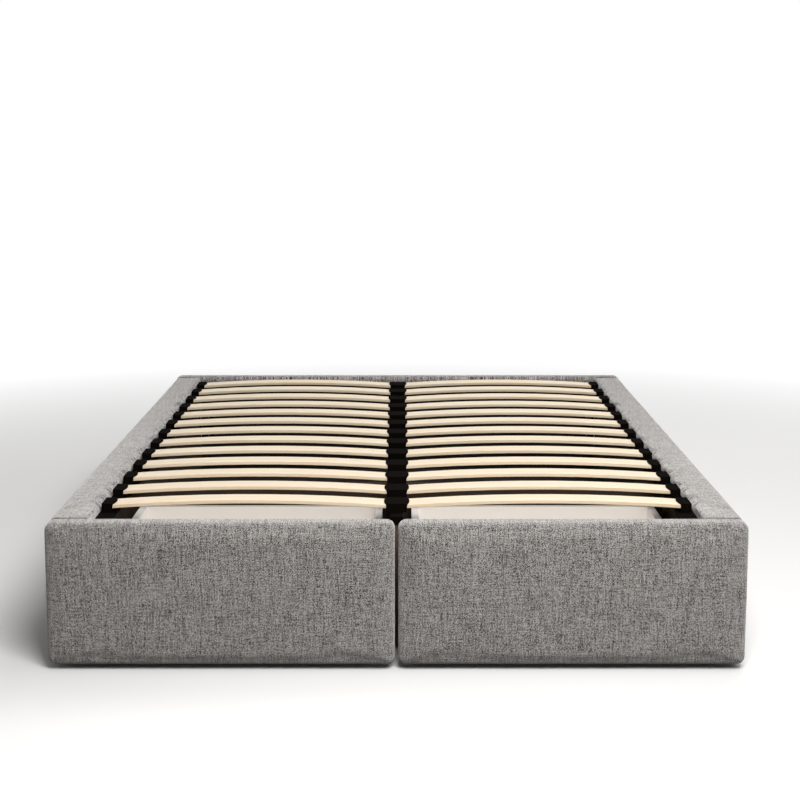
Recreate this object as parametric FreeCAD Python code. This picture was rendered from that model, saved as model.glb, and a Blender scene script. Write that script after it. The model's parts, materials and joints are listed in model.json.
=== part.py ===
import FreeCAD, Part
import math
import os

# An upholstered storage bed with two rolling drawers at its foot, in millimetres.
# +Z is up, +Y runs from the foot to the head, and the origin is on the floor under the middle of the bed.
# The right half is modelled, and mirrored where the two halves are alike.

V = FreeCAD.Vector
ORIGIN = V(0, 0, 0)
RIGHT = V(1, 0, 0)
HEADWARD = V(0, 1, 0)
UP = V(0, 0, 1)
DIAGONAL_SHARE = math.sqrt(0.5)  # of a corner's radius, to the middle of its arc
OVERRUN = 5.0  # how far a cutting tool reaches past the face it opens
SAME_PLACE = 0.001  # two places nearer than this are one
CUBIC_MM_PER_LITRE = 1e6

# Overall sizes
BED_WIDTH = 1600.0  # over the padded rails
BED_LENGTH = 2100.0  # from the drawer fronts to the back of the head panel
BED_HEIGHT = 350.0  # floor to the top of the rails and drawer fronts
HEAD_RISE = 2.0  # the head panel stands this much above the rails
FLOOR_GAP = 12.0  # under the rails, the head panel and the drawer fronts

# Upholstered panels at the foot and the head
PANEL_THICKNESS = 60.0
PANEL_CROWN = 3.0  # how far the padding swells in the middle of the outer face
PANEL_EDGE_RADIUS = 20.0
PANEL_BOARD_INSET = 16.0  # from the panel's outline to its board
FRONT_BOARD_THICKNESS = 22.0
HEAD_BOARD_THICKNESS = 22.0
FRONT_GAP = 9.0  # between the two drawer fronts

# Side rails: a box beam of two boards and two battens under a padded cover
RAIL_WIDTH = 92.0
RAIL_CROWN = 3.0
RAIL_EDGE_RADIUS = 14.0  # along the outer side
RAIL_INNER_RADIUS = 8.0  # along the top of the inner side
RAIL_END_RADIUS = 6.0  # round the foot end
RAIL_SIDE_PAD = 15.0
RAIL_TOP_PAD = 17.0
RAIL_END_PAD = 15.0
RAIL_END_GAP = 0.3  # a closed drawer front stops just short of the rail's padded end
RAIL_FLAP = 2.0  # cloth turned over onto the inner board
RAIL_INNER_BOARD = 18.0
RAIL_OUTER_BOARD = 12.0
RAIL_BATTEN_HEIGHT = 30.0

# Slat deck
DECK_DROP = 25.0  # from the top of the rails to the top of the ledgers and the centre rail
SLAT_WIDTH = 60.0
SLAT_THICKNESS = 9.0
SLAT_CROWN = 13.0  # rise of the bent slat in the middle of its span
SLAT_EDGE_RADIUS = 1.5
SLAT_PITCH = 141.5
SLAT_HEAD_GAP = 83.5  # from the head panel to the first slat
SLAT_FOOT_GAP = 110.0  # least room between the last slat and the drawer fronts

# Slat holders
HOLDER_DEPTH = 25.5  # across the bed
HOLDER_BASE = 8.0
HOLDER_SIDE_WALL = 2.5
HOLDER_END_WALL = 3.5
HOLDER_TOP_WALL = 2.0
HOLDER_TONGUE = 5.5  # the rounded lip that reaches over the slat
HOLDER_EDGE_RADIUS = 1.0
HOLDER_CLEARANCE = 0.25  # round the slat in its pocket
HOLDER_RAIL_CLEARANCE = 5.5  # from the holder to the rail's cover
CENTRE_HOLDER_WEB = 6.0  # the wall between the two pockets of a centre holder
PEG_RADIUS = 4.0
PEG_LENGTH = 6.0
PEG_CLEARANCE = 0.2

# Steel ledgers along the rails
LEDGER_WIDTH = 45.0
LEDGER_DEPTH = 30.0
LEDGER_THICKNESS = 2.5
LEDGER_SCREW_END = 90.0  # from the ledger's ends to its outer screws
LEDGER_SCREW_COUNT = 7

# Centre rail, its hanger, the divider and the legs
CENTRE_RAIL_WIDTH = 30.0
CENTRE_RAIL_HEIGHT = 20.0
CENTRE_RAIL_WALL = 2.0
CENTRE_RAIL_SETBACK = 99.0  # from the back of the drawer fronts to the rail's end
END_CAP_THICKNESS = 3.0
END_CAP_PLUG = 14.0
END_CAP_CLEARANCE = 0.2
HANGER_THICKNESS = 3.0
HANGER_DEPTH = 40.0
HANGER_EAR = 18.0  # the flange on each side of the hanger's cradle
HANGER_DROP = 30.0  # the flange below the cradle
HANGER_CLEARANCE = 0.3
DIVIDER_THICKNESS = 25.0
LEG_RADIUS = 15.0
LEG_WALL = 2.0
LEG_FLANGE_LENGTH = 70.0
LEG_FLANGE_THICKNESS = 3.0
LEG_END_ROOM = 380.0  # from the cross rail and the head panel to the nearest leg
LEG_COUNT = 2
LEG_FOOT_RADIUS = 19.0
LEG_FOOT_HEIGHT = 9.0
LEG_FOOT_SPIGOT = 18.0
LEG_FOOT_CLEARANCE = 0.2

# Cross rail behind the drawers
CROSS_RAIL_THICKNESS = 22.0
CROSS_RAIL_FLOOR_ROOM = 60.0
CROSS_RAIL_TOP_ROOM = 2.0  # under the ledgers
CROSS_RAIL_DRAWER_ROOM = 21.0  # behind a closed drawer

# Black lining cloth on the inner face of the head panel and under the frame
LINING_THICKNESS = 1.0
LINING_LEG_ROOM = 2.0  # round each leg that passes through the cloth

# Steel angle brackets at the head corners and the cross rail
BRACKET_LEG = 45.0
BRACKET_THICKNESS = 3.0
BRACKET_HEIGHT = 110.0
BRACKET_FLOOR_ROOM = 120.0
BRACKET_SCREW_END = 22.0  # from the bracket's ends to its screws
BRACKET_SCREW_EDGE = 16.0  # from the free edge of each leg to its screws

# Wood screws
SCREW_RADIUS = 2.0
SCREW_LENGTH = 14.0  # what is under the head
PANEL_SCREW_LENGTH = 40.0  # through the head panel's padding into its board
SCREW_HEAD_RADIUS = 4.0
SCREW_HEAD_HEIGHT = 2.0
SCREW_CLEARANCE = 0.15
SCREW_TIP_ROOM = 1.0

# Glides under the frame
GLIDE_RADIUS = 18.0
GLIDE_EDGE_RADIUS = 3.0
RAIL_GLIDE_END = 70.0  # from the rail's ends to its outer glides
RAIL_GLIDE_COUNT = 4
HEAD_GLIDE_SPAN = 1100.0
HEAD_GLIDE_COUNT = 3
DIVIDER_GLIDE_END = 60.0
DIVIDER_GLIDE_COUNT = 2

# Drawer boxes
DRAWER_INNER_X = 38.0  # from the bed's middle to the box
DRAWER_SIDE_ROOM = 30.0  # from the box to the rail's inner board
DRAWER_DEPTH = 544.0
DRAWER_SIDE_HEIGHT = 190.0
DRAWER_BOARD = 18.0
DRAWER_BOTTOM = 6.0
DRAWER_GROOVE = 6.0
DRAWER_GROOVE_CLEARANCE = 0.2
DRAWER_BATTEN_WIDTH = 60.0
DRAWER_BATTEN_HEIGHT = 20.0
DRAWER_BATTEN_END = 40.0  # from the box's ends to the battens
DRAWER_SCREW_END = 45.0  # from the side's edges to its screws
DRAWER_BRACKET_LEG = 22.0
DRAWER_BRACKET_THICKNESS = 2.5
DRAWER_BRACKET_HEIGHT = 32.0
DRAWER_BRACKET_END = 24.0  # from the side's edges to its brackets

# Castors under the drawers
WHEEL_RADIUS = 20.0
WHEEL_WIDTH = 18.0
WHEEL_EDGE_RADIUS = 2.5
WHEEL_DISH = 2.0
WHEEL_RIM = 6.0
AXLE_RADIUS = 3.0
AXLE_CLEARANCE = 0.06
AXLE_HEAD_RADIUS = 4.5
AXLE_HEAD_THICKNESS = 1.2
FORK_WALL = 3.0
FORK_SIDE_ROOM = 0.6  # beside the wheel
FORK_TOP_ROOM = 7.0  # above the wheel
FORK_CHEEK_RADIUS = 9.0
FORK_PLATE_LENGTH = 56.0
FORK_PLATE_WIDTH = 46.0
CASTOR_INSET = 50.0  # from the box's side to the castor

# Places worked out from the sizes above
half_width = BED_WIDTH / 2
foot_y = -BED_LENGTH / 2
head_y = BED_LENGTH / 2
front_back_y = foot_y + PANEL_THICKNESS
head_face_y = head_y - PANEL_THICKNESS
rail_in_x = half_width - RAIL_WIDTH
rail_foot_y = front_back_y + RAIL_END_GAP
rail_frame_y = rail_foot_y + RAIL_END_PAD
rail_frame_top = BED_HEIGHT - RAIL_TOP_PAD
inner_board_x = rail_in_x + RAIL_FLAP
batten_in_x = inner_board_x + RAIL_INNER_BOARD
outer_board_x1 = half_width - RAIL_SIDE_PAD
batten_out_x = outer_board_x1 - RAIL_OUTER_BOARD
deck_z = BED_HEIGHT - DECK_DROP
slat_end_z = deck_z + HOLDER_BASE
holder_out_x = rail_in_x - HOLDER_RAIL_CLEARANCE
holder_in_x = holder_out_x - HOLDER_DEPTH
centre_holder_x = HOLDER_DEPTH + CENTRE_HOLDER_WEB / 2 - HOLDER_END_WALL
slat_in_x = CENTRE_HOLDER_WEB / 2 + HOLDER_CLEARANCE
slat_out_x = holder_out_x - HOLDER_END_WALL - HOLDER_CLEARANCE
slat_mid_x = (slat_in_x + slat_out_x) / 2
slat_half_span = (slat_out_x - slat_in_x) / 2
slat_bend_radius = (slat_half_span ** 2 + SLAT_CROWN ** 2) / (SLAT_CROWN * 2)
slat_bend_z = slat_end_z + SLAT_CROWN - slat_bend_radius
slat_head_y = head_face_y - SLAT_HEAD_GAP - SLAT_WIDTH / 2
slat_room = slat_head_y - SLAT_WIDTH / 2 - SLAT_FOOT_GAP - front_back_y
slat_rows = [slat_head_y - SLAT_PITCH * row for row in range(int(slat_room // SLAT_PITCH) + 1)]
holder_half_y = SLAT_WIDTH / 2 + HOLDER_CLEARANCE + HOLDER_SIDE_WALL
centre_rail_foot_y = front_back_y + CENTRE_RAIL_SETBACK
lined_face_y = head_face_y - LINING_THICKNESS
centre_rail_head_y = lined_face_y - HANGER_THICKNESS - HANGER_CLEARANCE
centre_rail_z = deck_z - CENTRE_RAIL_HEIGHT
drawer_outer_x = inner_board_x - DRAWER_SIDE_ROOM
drawer_back_y = front_back_y + DRAWER_DEPTH
axle_z = WHEEL_RADIUS
drawer_z = WHEEL_RADIUS * 2 + FORK_TOP_ROOM + FORK_WALL
drawer_top_z = drawer_z + DRAWER_SIDE_HEIGHT
drawer_floor_z = drawer_z + DRAWER_BATTEN_HEIGHT
cross_rail_y = drawer_back_y + CROSS_RAIL_DRAWER_ROOM
cross_rail_back_y = cross_rail_y + CROSS_RAIL_THICKNESS
cross_rail_top = deck_z - LEDGER_DEPTH - CROSS_RAIL_TOP_ROOM


def box(x0, x1, y0, y1, z0, z1):
    """A block between two corners."""
    return Part.makeBox(x1 - x0, y1 - y0, z1 - z0, V(x0, y0, z0))


def rod(radius, start, end):
    """A round bar from one point to another."""
    axis = end - start
    return Part.makeCylinder(radius, axis.Length, start, axis)


def joined(*shapes):
    """One solid made of shapes that touch."""
    return shapes[0].fuse(list(shapes[1:])).removeSplitter()


def group(solids):
    """Separate solids kept together in one node."""
    return Part.makeCompound(solids)


def mirrored(shape):
    """The same shape on the other side of the bed."""
    return shape.mirror(ORIGIN, RIGHT)


def both_sides(solids):
    """A list of solids with their mirror images."""
    return solids + [mirrored(solid) for solid in solids]


def spread(first, last, count):
    """Evenly spaced places from first to last."""
    step = (last - first) / (count - 1)
    return [first + step * n for n in range(count)]


def face_of(points):
    """A flat face: each entry is a corner, or a pair of a point on an arc and the arc's end."""
    edges = []
    start = points[0]
    for entry in points[1:] + [points[0]]:
        if isinstance(entry, tuple):
            edges.append(Part.Arc(start, entry[0], entry[1]).toShape())
            start = entry[1]
        else:
            edges.append(Part.LineSegment(start, entry).toShape())
            start = entry
    return Part.Face(Part.Wire(edges))


def screw(seat, direction, length):
    """A pan-head screw whose head stands on seat."""
    head = Part.makeCylinder(SCREW_HEAD_RADIUS, SCREW_HEAD_HEIGHT, seat, -direction)
    shank = Part.makeCylinder(SCREW_RADIUS, length, seat, direction)
    return joined(head, shank)


def screw_hole(seat, direction, length):
    """The clear hole for a screw."""
    start = seat - direction * OVERRUN
    depth = OVERRUN + length + SCREW_TIP_ROOM
    return Part.makeCylinder(SCREW_RADIUS + SCREW_CLEARANCE, depth, start, direction)


def drilled(shape, seats, direction, length):
    """The shape with a hole for each screw."""
    return shape.cut([screw_hole(seat, direction, length) for seat in seats])


# Upholstered panels


def padded_panel(x0, x1, flat_y, crown_y, z0, z1):
    """A padded panel with rounded edges, flat on one face and swelling on the other."""
    crown = PANEL_CROWN if crown_y > flat_y else -PANEL_CROWN
    profile = face_of([
        V(x0, flat_y, z0),
        V(x0, crown_y - crown, z0),
        (V(x0, crown_y, (z0 + z1) / 2), V(x0, crown_y - crown, z1)),
        V(x0, flat_y, z1),
    ])
    block = profile.extrude(V(x1 - x0, 0, 0))
    return block.makeFillet(PANEL_EDGE_RADIUS, block.Edges)


def front_board_seats():
    """Screw seats on the back of the right front board, one for each bracket leg."""
    reach = DRAWER_BRACKET_LEG / 2
    places = []
    for z in drawer_bracket_heights():
        for x in (DRAWER_INNER_X - reach, drawer_outer_x + reach):
            places.append(V(x, front_back_y + DRAWER_BRACKET_THICKNESS, z))
    return places


def make_drawer_front():
    """The right drawer front: its padded cover and the board inside."""
    x0, x1 = FRONT_GAP / 2, half_width
    board = box(
        x0 + PANEL_BOARD_INSET, x1 - PANEL_BOARD_INSET,
        front_back_y - FRONT_BOARD_THICKNESS, front_back_y,
        FLOOR_GAP + PANEL_BOARD_INSET, BED_HEIGHT - PANEL_BOARD_INSET,
    )
    cover = padded_panel(x0, x1, front_back_y, foot_y, FLOOR_GAP, BED_HEIGHT).cut(board)
    return cover, drilled(board, front_board_seats(), -HEADWARD, SCREW_LENGTH)


def make_head_panel():
    """The head panel: a cover open at the bottom and the board that fills it."""
    top = BED_HEIGHT + HEAD_RISE
    middle_y = (head_face_y + head_y) / 2
    board = box(
        -half_width + PANEL_BOARD_INSET, half_width - PANEL_BOARD_INSET,
        middle_y - HEAD_BOARD_THICKNESS / 2, middle_y + HEAD_BOARD_THICKNESS / 2,
        FLOOR_GAP, top - PANEL_BOARD_INSET,
    )
    cover = padded_panel(-half_width, half_width, head_face_y, head_y, FLOOR_GAP, top).cut(board)
    seats = head_panel_seats()
    cover = drilled(cover, seats, HEADWARD, PANEL_SCREW_LENGTH)
    return cover, drilled(board, seats, HEADWARD, PANEL_SCREW_LENGTH)


def head_panel_seats():
    """Every screw seat that stands against the head panel."""
    seats = head_bracket_seats()
    return seats + [V(-seat.x, seat.y, seat.z) for seat in seats] + hanger_seats()


def make_head_lining():
    """Black cloth on the inner face of the head panel, below the slats and under the brackets."""
    sheet = box(-inner_board_x, inner_board_x, lined_face_y, head_face_y, FLOOR_GAP, deck_z)
    return drilled(sheet, head_panel_seats(), HEADWARD, PANEL_SCREW_LENGTH)


def make_base_lining():
    """Black cloth stapled under the rails' inner boards, from the cross rail to the head panel."""
    sheet = box(
        -batten_in_x, batten_in_x, cross_rail_y, head_face_y, FLOOR_GAP - LINING_THICKNESS, FLOOR_GAP
    )
    leg_room = LEG_RADIUS + LINING_LEG_ROOM
    return sheet.cut([rod(leg_room, V(0, y, 0), V(0, y, FLOOR_GAP)) for y in leg_places()])


# Side rails


def long_edges(block, x):
    """The edges that run along the bed at one place across it."""
    return [edge for edge in block.Edges if edge.BoundBox.YLength > RAIL_WIDTH and at_x(edge, x)]


def at_x(edge, x):
    """Whether an edge lies in the upright plane at one place across the bed."""
    return max(abs(edge.BoundBox.XMin - x), abs(edge.BoundBox.XMax - x)) < SAME_PLACE


def make_rail_cover():
    """The right rail's padded cover: outer side, top, foot end and a flap on the inner side."""
    x0, x1 = rail_in_x, half_width
    z0, z1 = FLOOR_GAP, BED_HEIGHT
    shoulder_x, shoulder_z = x1 - RAIL_CROWN, z1 - RAIL_CROWN
    profile = face_of([
        V(x0, rail_foot_y, z0),
        V(shoulder_x, rail_foot_y, z0),
        (V(x1, rail_foot_y, (z0 + z1) / 2), V(shoulder_x, rail_foot_y, shoulder_z)),
        (V((x0 + x1) / 2, rail_foot_y, z1), V(x0, rail_foot_y, shoulder_z)),
    ])
    block = profile.extrude(V(0, head_face_y - rail_foot_y, 0))
    padding = block.makeFillet(RAIL_EDGE_RADIUS, long_edges(block, shoulder_x))
    inner_top = [edge for edge in long_edges(padding, x0) if edge.BoundBox.ZMin > deck_z]
    padding = padding.makeFillet(RAIL_INNER_RADIUS, inner_top)
    end_edges = [edge for edge in padding.Edges if edge.BoundBox.YMax < rail_frame_y]
    padding = padding.makeFillet(RAIL_END_RADIUS, end_edges)
    frame_end = head_face_y + OVERRUN
    below = FLOOR_GAP - OVERRUN
    beam_room = box(inner_board_x, outer_board_x1, rail_frame_y, frame_end, below, rail_frame_top)
    under_flap = box(x0 - OVERRUN, inner_board_x, rail_frame_y, frame_end, below, deck_z)
    return padding.cut([beam_room, under_flap])


def rail_member(x0, x1, z0, z1):
    """A board or batten that runs the length of the right rail."""
    return box(x0, x1, rail_frame_y, head_face_y, z0, z1)


def make_rail_inner_board():
    """The right rail's inner board, which carries the ledger and the brackets."""
    board = rail_member(inner_board_x, batten_in_x, FLOOR_GAP, rail_frame_top)
    seats = ledger_seats() + rail_bracket_seats(lined_face_y, -1) + rail_bracket_seats(cross_rail_back_y, 1)
    return drilled(board, seats, RIGHT, SCREW_LENGTH)


def make_rail_outer_board():
    """The right rail's outer board, under the padding."""
    return rail_member(batten_out_x, outer_board_x1, FLOOR_GAP, rail_frame_top)


def make_rail_battens():
    """The top and bottom battens between the right rail's boards."""
    low = rail_member(batten_in_x, batten_out_x, FLOOR_GAP, FLOOR_GAP + RAIL_BATTEN_HEIGHT)
    high = rail_member(batten_in_x, batten_out_x, rail_frame_top - RAIL_BATTEN_HEIGHT, rail_frame_top)
    return group([low, high])


# Ledgers


def ledger_seats():
    """Screw seats on the right ledger's upright leg."""
    x = inner_board_x - LEDGER_THICKNESS
    z = deck_z - (LEDGER_DEPTH + LEDGER_THICKNESS) / 2
    ends = (rail_frame_y + LEDGER_SCREW_END, head_face_y - LEDGER_SCREW_END)
    return [V(x, y, z) for y in spread(*ends, LEDGER_SCREW_COUNT)]


def make_ledger():
    """The right ledger: a steel angle with a hole for the peg of each holder."""
    x0 = inner_board_x - LEDGER_WIDTH
    shelf = rail_angle_leg(x0, deck_z - LEDGER_THICKNESS)
    upright = rail_angle_leg(inner_board_x - LEDGER_THICKNESS, deck_z - LEDGER_DEPTH)
    pegs = [peg(holder_peg_x(), y, PEG_CLEARANCE) for y in slat_rows]
    return drilled(joined(shelf, upright).cut(pegs), ledger_seats(), RIGHT, SCREW_LENGTH)


def rail_angle_leg(x0, z0):
    """One leg of the right ledger, from its free edge to the corner."""
    return box(x0, inner_board_x, rail_frame_y, lined_face_y, z0, deck_z)


# Slats and their holders


def slat_section(grow):
    """The rounded section at the middle of a slat, or with grow the room round it."""
    y1 = SLAT_WIDTH / 2 + grow
    z0 = slat_end_z + SLAT_CROWN - grow
    z1 = z0 + SLAT_THICKNESS + grow * 2
    corner = SLAT_EDGE_RADIUS
    ease = corner * (1 - DIAGONAL_SHARE)
    points = []
    for y, z, rising in ((y1, z0, 1), (y1, z1, 0), (-y1, z1, 1), (-y1, z0, 0)):
        way_y, way_z = math.copysign(1, -y), (1 if z == z0 else -1)
        along_y = V(slat_mid_x, y + way_y * corner, z)
        along_z = V(slat_mid_x, y, z + way_z * corner)
        middle = V(slat_mid_x, y + way_y * ease, z + way_z * ease)
        start, end = (along_y, along_z) if rising else (along_z, along_y)
        points += [start, (middle, end)]
    return face_of(points)


def slat_block(grow):
    """A bent slat of the right column, or with grow the room that it needs."""
    centre = V(slat_mid_x, 0, slat_bend_z)
    half_turn = math.degrees(math.asin((slat_half_span + grow) / slat_bend_radius))
    section = slat_section(grow)
    section.rotate(centre, HEADWARD, -half_turn)
    return section.revolve(centre, HEADWARD, half_turn * 2)


def make_slats():
    """The right column of slats."""
    slat = slat_block(0)
    return group([slat.translated(V(0, y, 0)) for y in slat_rows])


def slat_top_z(x):
    """Height of a slat's upper face at a place across the bed."""
    top_radius = slat_bend_radius + SLAT_THICKNESS
    return slat_bend_z + math.sqrt(top_radius ** 2 - (x - slat_mid_x) ** 2)


def holder_peg_x():
    """Middle of a rail holder across the bed."""
    return (holder_in_x + holder_out_x) / 2


def peg(x, y, grow):
    """The peg under a holder, or with grow the hole for it."""
    return rod(PEG_RADIUS + grow, V(x, y, deck_z - PEG_LENGTH - grow), V(x, y, deck_z + grow))


def tongue(mouth_x, inward, y, top):
    """The rounded lip of a holder, which lies on the slat."""
    tip = V(mouth_x + inward * HOLDER_TONGUE, y, top)
    near = V(mouth_x, y - holder_half_y, top)
    far = V(mouth_x, y + holder_half_y, top)
    return face_of([near, (tip, far)]).extrude(-UP * HOLDER_TOP_WALL * 2)


def eased(block):
    """A moulded block with its upright edges eased."""
    upright = [edge for edge in block.Edges if edge.BoundBox.ZLength > HOLDER_BASE]
    return block.makeFillet(HOLDER_EDGE_RADIUS, upright)


def make_rail_holders():
    """The right column of holders that stand on the ledger."""
    top = slat_top_z(holder_in_x - HOLDER_TONGUE) + HOLDER_CLEARANCE + HOLDER_TOP_WALL
    body = eased(box(holder_in_x, holder_out_x, -holder_half_y, holder_half_y, deck_z, top))
    lip = tongue(holder_in_x, -1, 0, top)
    holder = joined(body, lip, peg(holder_peg_x(), 0, 0)).cut(slat_block(HOLDER_CLEARANCE))
    return group([holder.translated(V(0, y, 0)) for y in slat_rows])


def make_centre_holders():
    """The double holders on the centre rail, one for each pair of slats."""
    top = slat_top_z(centre_holder_x + HOLDER_TONGUE) + HOLDER_CLEARANCE + HOLDER_TOP_WALL
    body = eased(box(-centre_holder_x, centre_holder_x, -holder_half_y, holder_half_y, deck_z, top))
    lip = tongue(centre_holder_x, 1, 0, top)
    room = slat_block(HOLDER_CLEARANCE)
    holder = joined(body, lip, mirrored(lip), peg(0, 0, 0)).cut([room, mirrored(room)])
    return group([holder.translated(V(0, y, 0)) for y in slat_rows])


# Centre rail, hanger, divider, legs and cross rail


def make_centre_rail():
    """A steel box section under the middle of the slats."""
    half = CENTRE_RAIL_WIDTH / 2
    y0, y1 = centre_rail_foot_y, centre_rail_head_y
    tube = box(-half, half, y0, y1, centre_rail_z, deck_z)
    wall = CENTRE_RAIL_WALL
    bore = box(
        -half + wall, half - wall, y0 - OVERRUN, y1 + OVERRUN, centre_rail_z + wall, deck_z - wall
    )
    return tube.cut(bore).cut([peg(0, y, PEG_CLEARANCE) for y in slat_rows])


def make_end_cap():
    """The plug in the foot end of the centre rail."""
    half = CENTRE_RAIL_WIDTH / 2
    y = centre_rail_foot_y
    inset = CENTRE_RAIL_WALL + END_CAP_CLEARANCE
    plate = box(-half, half, y - END_CAP_THICKNESS, y, centre_rail_z, deck_z)
    plug = box(-half + inset, half - inset, y, y + END_CAP_PLUG, centre_rail_z + inset, deck_z - inset)
    return joined(plate, plug)


def hanger_seats():
    """Screw seats on the hanger's flange, beside and below the cradle."""
    y = lined_face_y - HANGER_THICKNESS
    ear_x = CENTRE_RAIL_WIDTH / 2 + HANGER_CLEARANCE + HANGER_THICKNESS + HANGER_EAR / 2
    middle_z = centre_rail_z + CENTRE_RAIL_HEIGHT / 2
    low_z = centre_rail_z - HANGER_THICKNESS - HANGER_DROP / 2
    return [V(-ear_x, y, middle_z), V(ear_x, y, middle_z), V(0, y, low_z)]


def make_hanger():
    """The steel hanger on the head panel that cradles the centre rail's end."""
    room_x = CENTRE_RAIL_WIDTH / 2 + HANGER_CLEARANCE
    out_x = room_x + HANGER_THICKNESS
    low_z = centre_rail_z - HANGER_THICKNESS
    y0, y1 = lined_face_y - HANGER_DEPTH, lined_face_y
    cradle = box(-out_x, out_x, y0, y1, low_z, deck_z)
    flange = box(
        -out_x - HANGER_EAR, out_x + HANGER_EAR, y1 - HANGER_THICKNESS, y1, low_z - HANGER_DROP, deck_z
    )
    room = box(
        -room_x, room_x, y0 - OVERRUN, y1 - HANGER_THICKNESS, centre_rail_z, deck_z + OVERRUN
    )
    plate = joined(cradle, flange).cut(room)
    return drilled(plate, hanger_seats(), HEADWARD, PANEL_SCREW_LENGTH)


def make_divider():
    """The plywood board between the drawers, which carries the foot of the centre rail."""
    half = DIVIDER_THICKNESS / 2
    return box(-half, half, centre_rail_foot_y, cross_rail_y, FLOOR_GAP, centre_rail_z)


def leg_places():
    """Places of the legs along the centre rail."""
    return spread(cross_rail_back_y + LEG_END_ROOM, head_face_y - LEG_END_ROOM, LEG_COUNT)


def make_legs():
    """Tube legs with a flange under the centre rail."""
    legs = []
    for y in leg_places():
        flange_z = centre_rail_z - LEG_FLANGE_THICKNESS
        flange = box(
            -CENTRE_RAIL_WIDTH / 2, CENTRE_RAIL_WIDTH / 2,
            y - LEG_FLANGE_LENGTH / 2, y + LEG_FLANGE_LENGTH / 2, flange_z, centre_rail_z,
        )
        tube = rod(LEG_RADIUS, V(0, y, LEG_FOOT_HEIGHT), V(0, y, flange_z))
        bore = rod(LEG_RADIUS - LEG_WALL, V(0, y, 0), V(0, y, flange_z))
        legs.append(joined(tube.cut(bore), flange))
    return group(legs)


def make_leg_feet():
    """Plastic feet that plug into the legs."""
    feet = []
    for y in leg_places():
        base = rod(LEG_FOOT_RADIUS, V(0, y, 0), V(0, y, LEG_FOOT_HEIGHT))
        base = base.makeFillet(GLIDE_EDGE_RADIUS, base.Edges)
        spigot_radius = LEG_RADIUS - LEG_WALL - LEG_FOOT_CLEARANCE
        spigot_top = V(0, y, LEG_FOOT_HEIGHT + LEG_FOOT_SPIGOT)
        feet.append(joined(base, rod(spigot_radius, V(0, y, LEG_FOOT_HEIGHT / 2), spigot_top)))
    return group(feet)


def make_cross_rail():
    """The board that ties the two rails together behind the drawers."""
    board = box(
        -inner_board_x, inner_board_x, cross_rail_y, cross_rail_back_y, CROSS_RAIL_FLOOR_ROOM, cross_rail_top
    )
    seats = cross_bracket_seats()
    seats += [V(-seat.x, seat.y, seat.z) for seat in seats]
    return drilled(board, seats, -HEADWARD, SCREW_LENGTH)


def make_glides():
    """Round plastic glides under the rails, the head panel and the divider."""
    rail_x = (batten_in_x + batten_out_x) / 2
    rail_ends = (rail_frame_y + RAIL_GLIDE_END, head_face_y - RAIL_GLIDE_END)
    divider_ends = (centre_rail_foot_y + DIVIDER_GLIDE_END, cross_rail_y - DIVIDER_GLIDE_END)
    middle_y = (head_face_y + head_y) / 2
    places = [(x, y) for x in (-rail_x, rail_x) for y in spread(*rail_ends, RAIL_GLIDE_COUNT)]
    places += [(x, middle_y) for x in spread(-HEAD_GLIDE_SPAN / 2, HEAD_GLIDE_SPAN / 2, HEAD_GLIDE_COUNT)]
    places += [(0, y) for y in spread(*divider_ends, DIVIDER_GLIDE_COUNT)]
    glides = []
    for x, y in places:
        disc = rod(GLIDE_RADIUS, V(x, y, 0), V(x, y, FLOOR_GAP))
        lower_rim = [edge for edge in disc.Edges if edge.BoundBox.ZMax < FLOOR_GAP / 2]
        glides.append(disc.makeFillet(GLIDE_EDGE_RADIUS, lower_rim))
    return group(glides)


# Angle brackets and frame screws


def bracket_heights():
    """Heights of the two screws in each leg of a frame bracket."""
    low = BRACKET_FLOOR_ROOM + BRACKET_SCREW_END
    return [low, BRACKET_FLOOR_ROOM + BRACKET_HEIGHT - BRACKET_SCREW_END]


def rail_bracket_seats(corner_y, way):
    """Screw seats on the leg that lies on the right rail, from a corner towards head or foot."""
    y = corner_y + way * (BRACKET_LEG - BRACKET_SCREW_EDGE)
    return [V(inner_board_x - BRACKET_THICKNESS, y, z) for z in bracket_heights()]


def head_bracket_seats():
    """Screw seats on the right head bracket's other leg, against the head panel."""
    x = inner_board_x - BRACKET_LEG + BRACKET_SCREW_EDGE
    return [V(x, lined_face_y - BRACKET_THICKNESS, z) for z in bracket_heights()]


def cross_bracket_seats():
    """Screw seats on the right cross bracket's other leg, against the cross rail."""
    x = inner_board_x - BRACKET_LEG + BRACKET_SCREW_EDGE
    return [V(x, cross_rail_back_y + BRACKET_THICKNESS, z) for z in bracket_heights()]


def angle_bracket(corner_y, way):
    """A steel angle on the right rail's inner board, from a corner towards head or foot."""
    x0, x1 = inner_board_x - BRACKET_LEG, inner_board_x
    z0, z1 = BRACKET_FLOOR_ROOM, BRACKET_FLOOR_ROOM + BRACKET_HEIGHT
    along = sorted((corner_y, corner_y + way * BRACKET_LEG))
    across = sorted((corner_y, corner_y + way * BRACKET_THICKNESS))
    rail_leg = box(x1 - BRACKET_THICKNESS, x1, *along, z0, z1)
    cross_leg = box(x0, x1, *across, z0, z1)
    return drilled(joined(rail_leg, cross_leg), rail_bracket_seats(corner_y, way), RIGHT, SCREW_LENGTH)


def make_frame_brackets():
    """The brackets that hold the rails to the head panel and the cross rail."""
    at_head = angle_bracket(lined_face_y, -1)
    at_head = drilled(at_head, head_bracket_seats(), HEADWARD, PANEL_SCREW_LENGTH)
    at_cross_rail = angle_bracket(cross_rail_back_y, 1)
    at_cross_rail = drilled(at_cross_rail, cross_bracket_seats(), -HEADWARD, SCREW_LENGTH)
    return group(both_sides([at_head, at_cross_rail]))


def make_ledger_screws():
    """The screws that hold both ledgers."""
    return group(both_sides([screw(seat, RIGHT, SCREW_LENGTH) for seat in ledger_seats()]))


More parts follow.
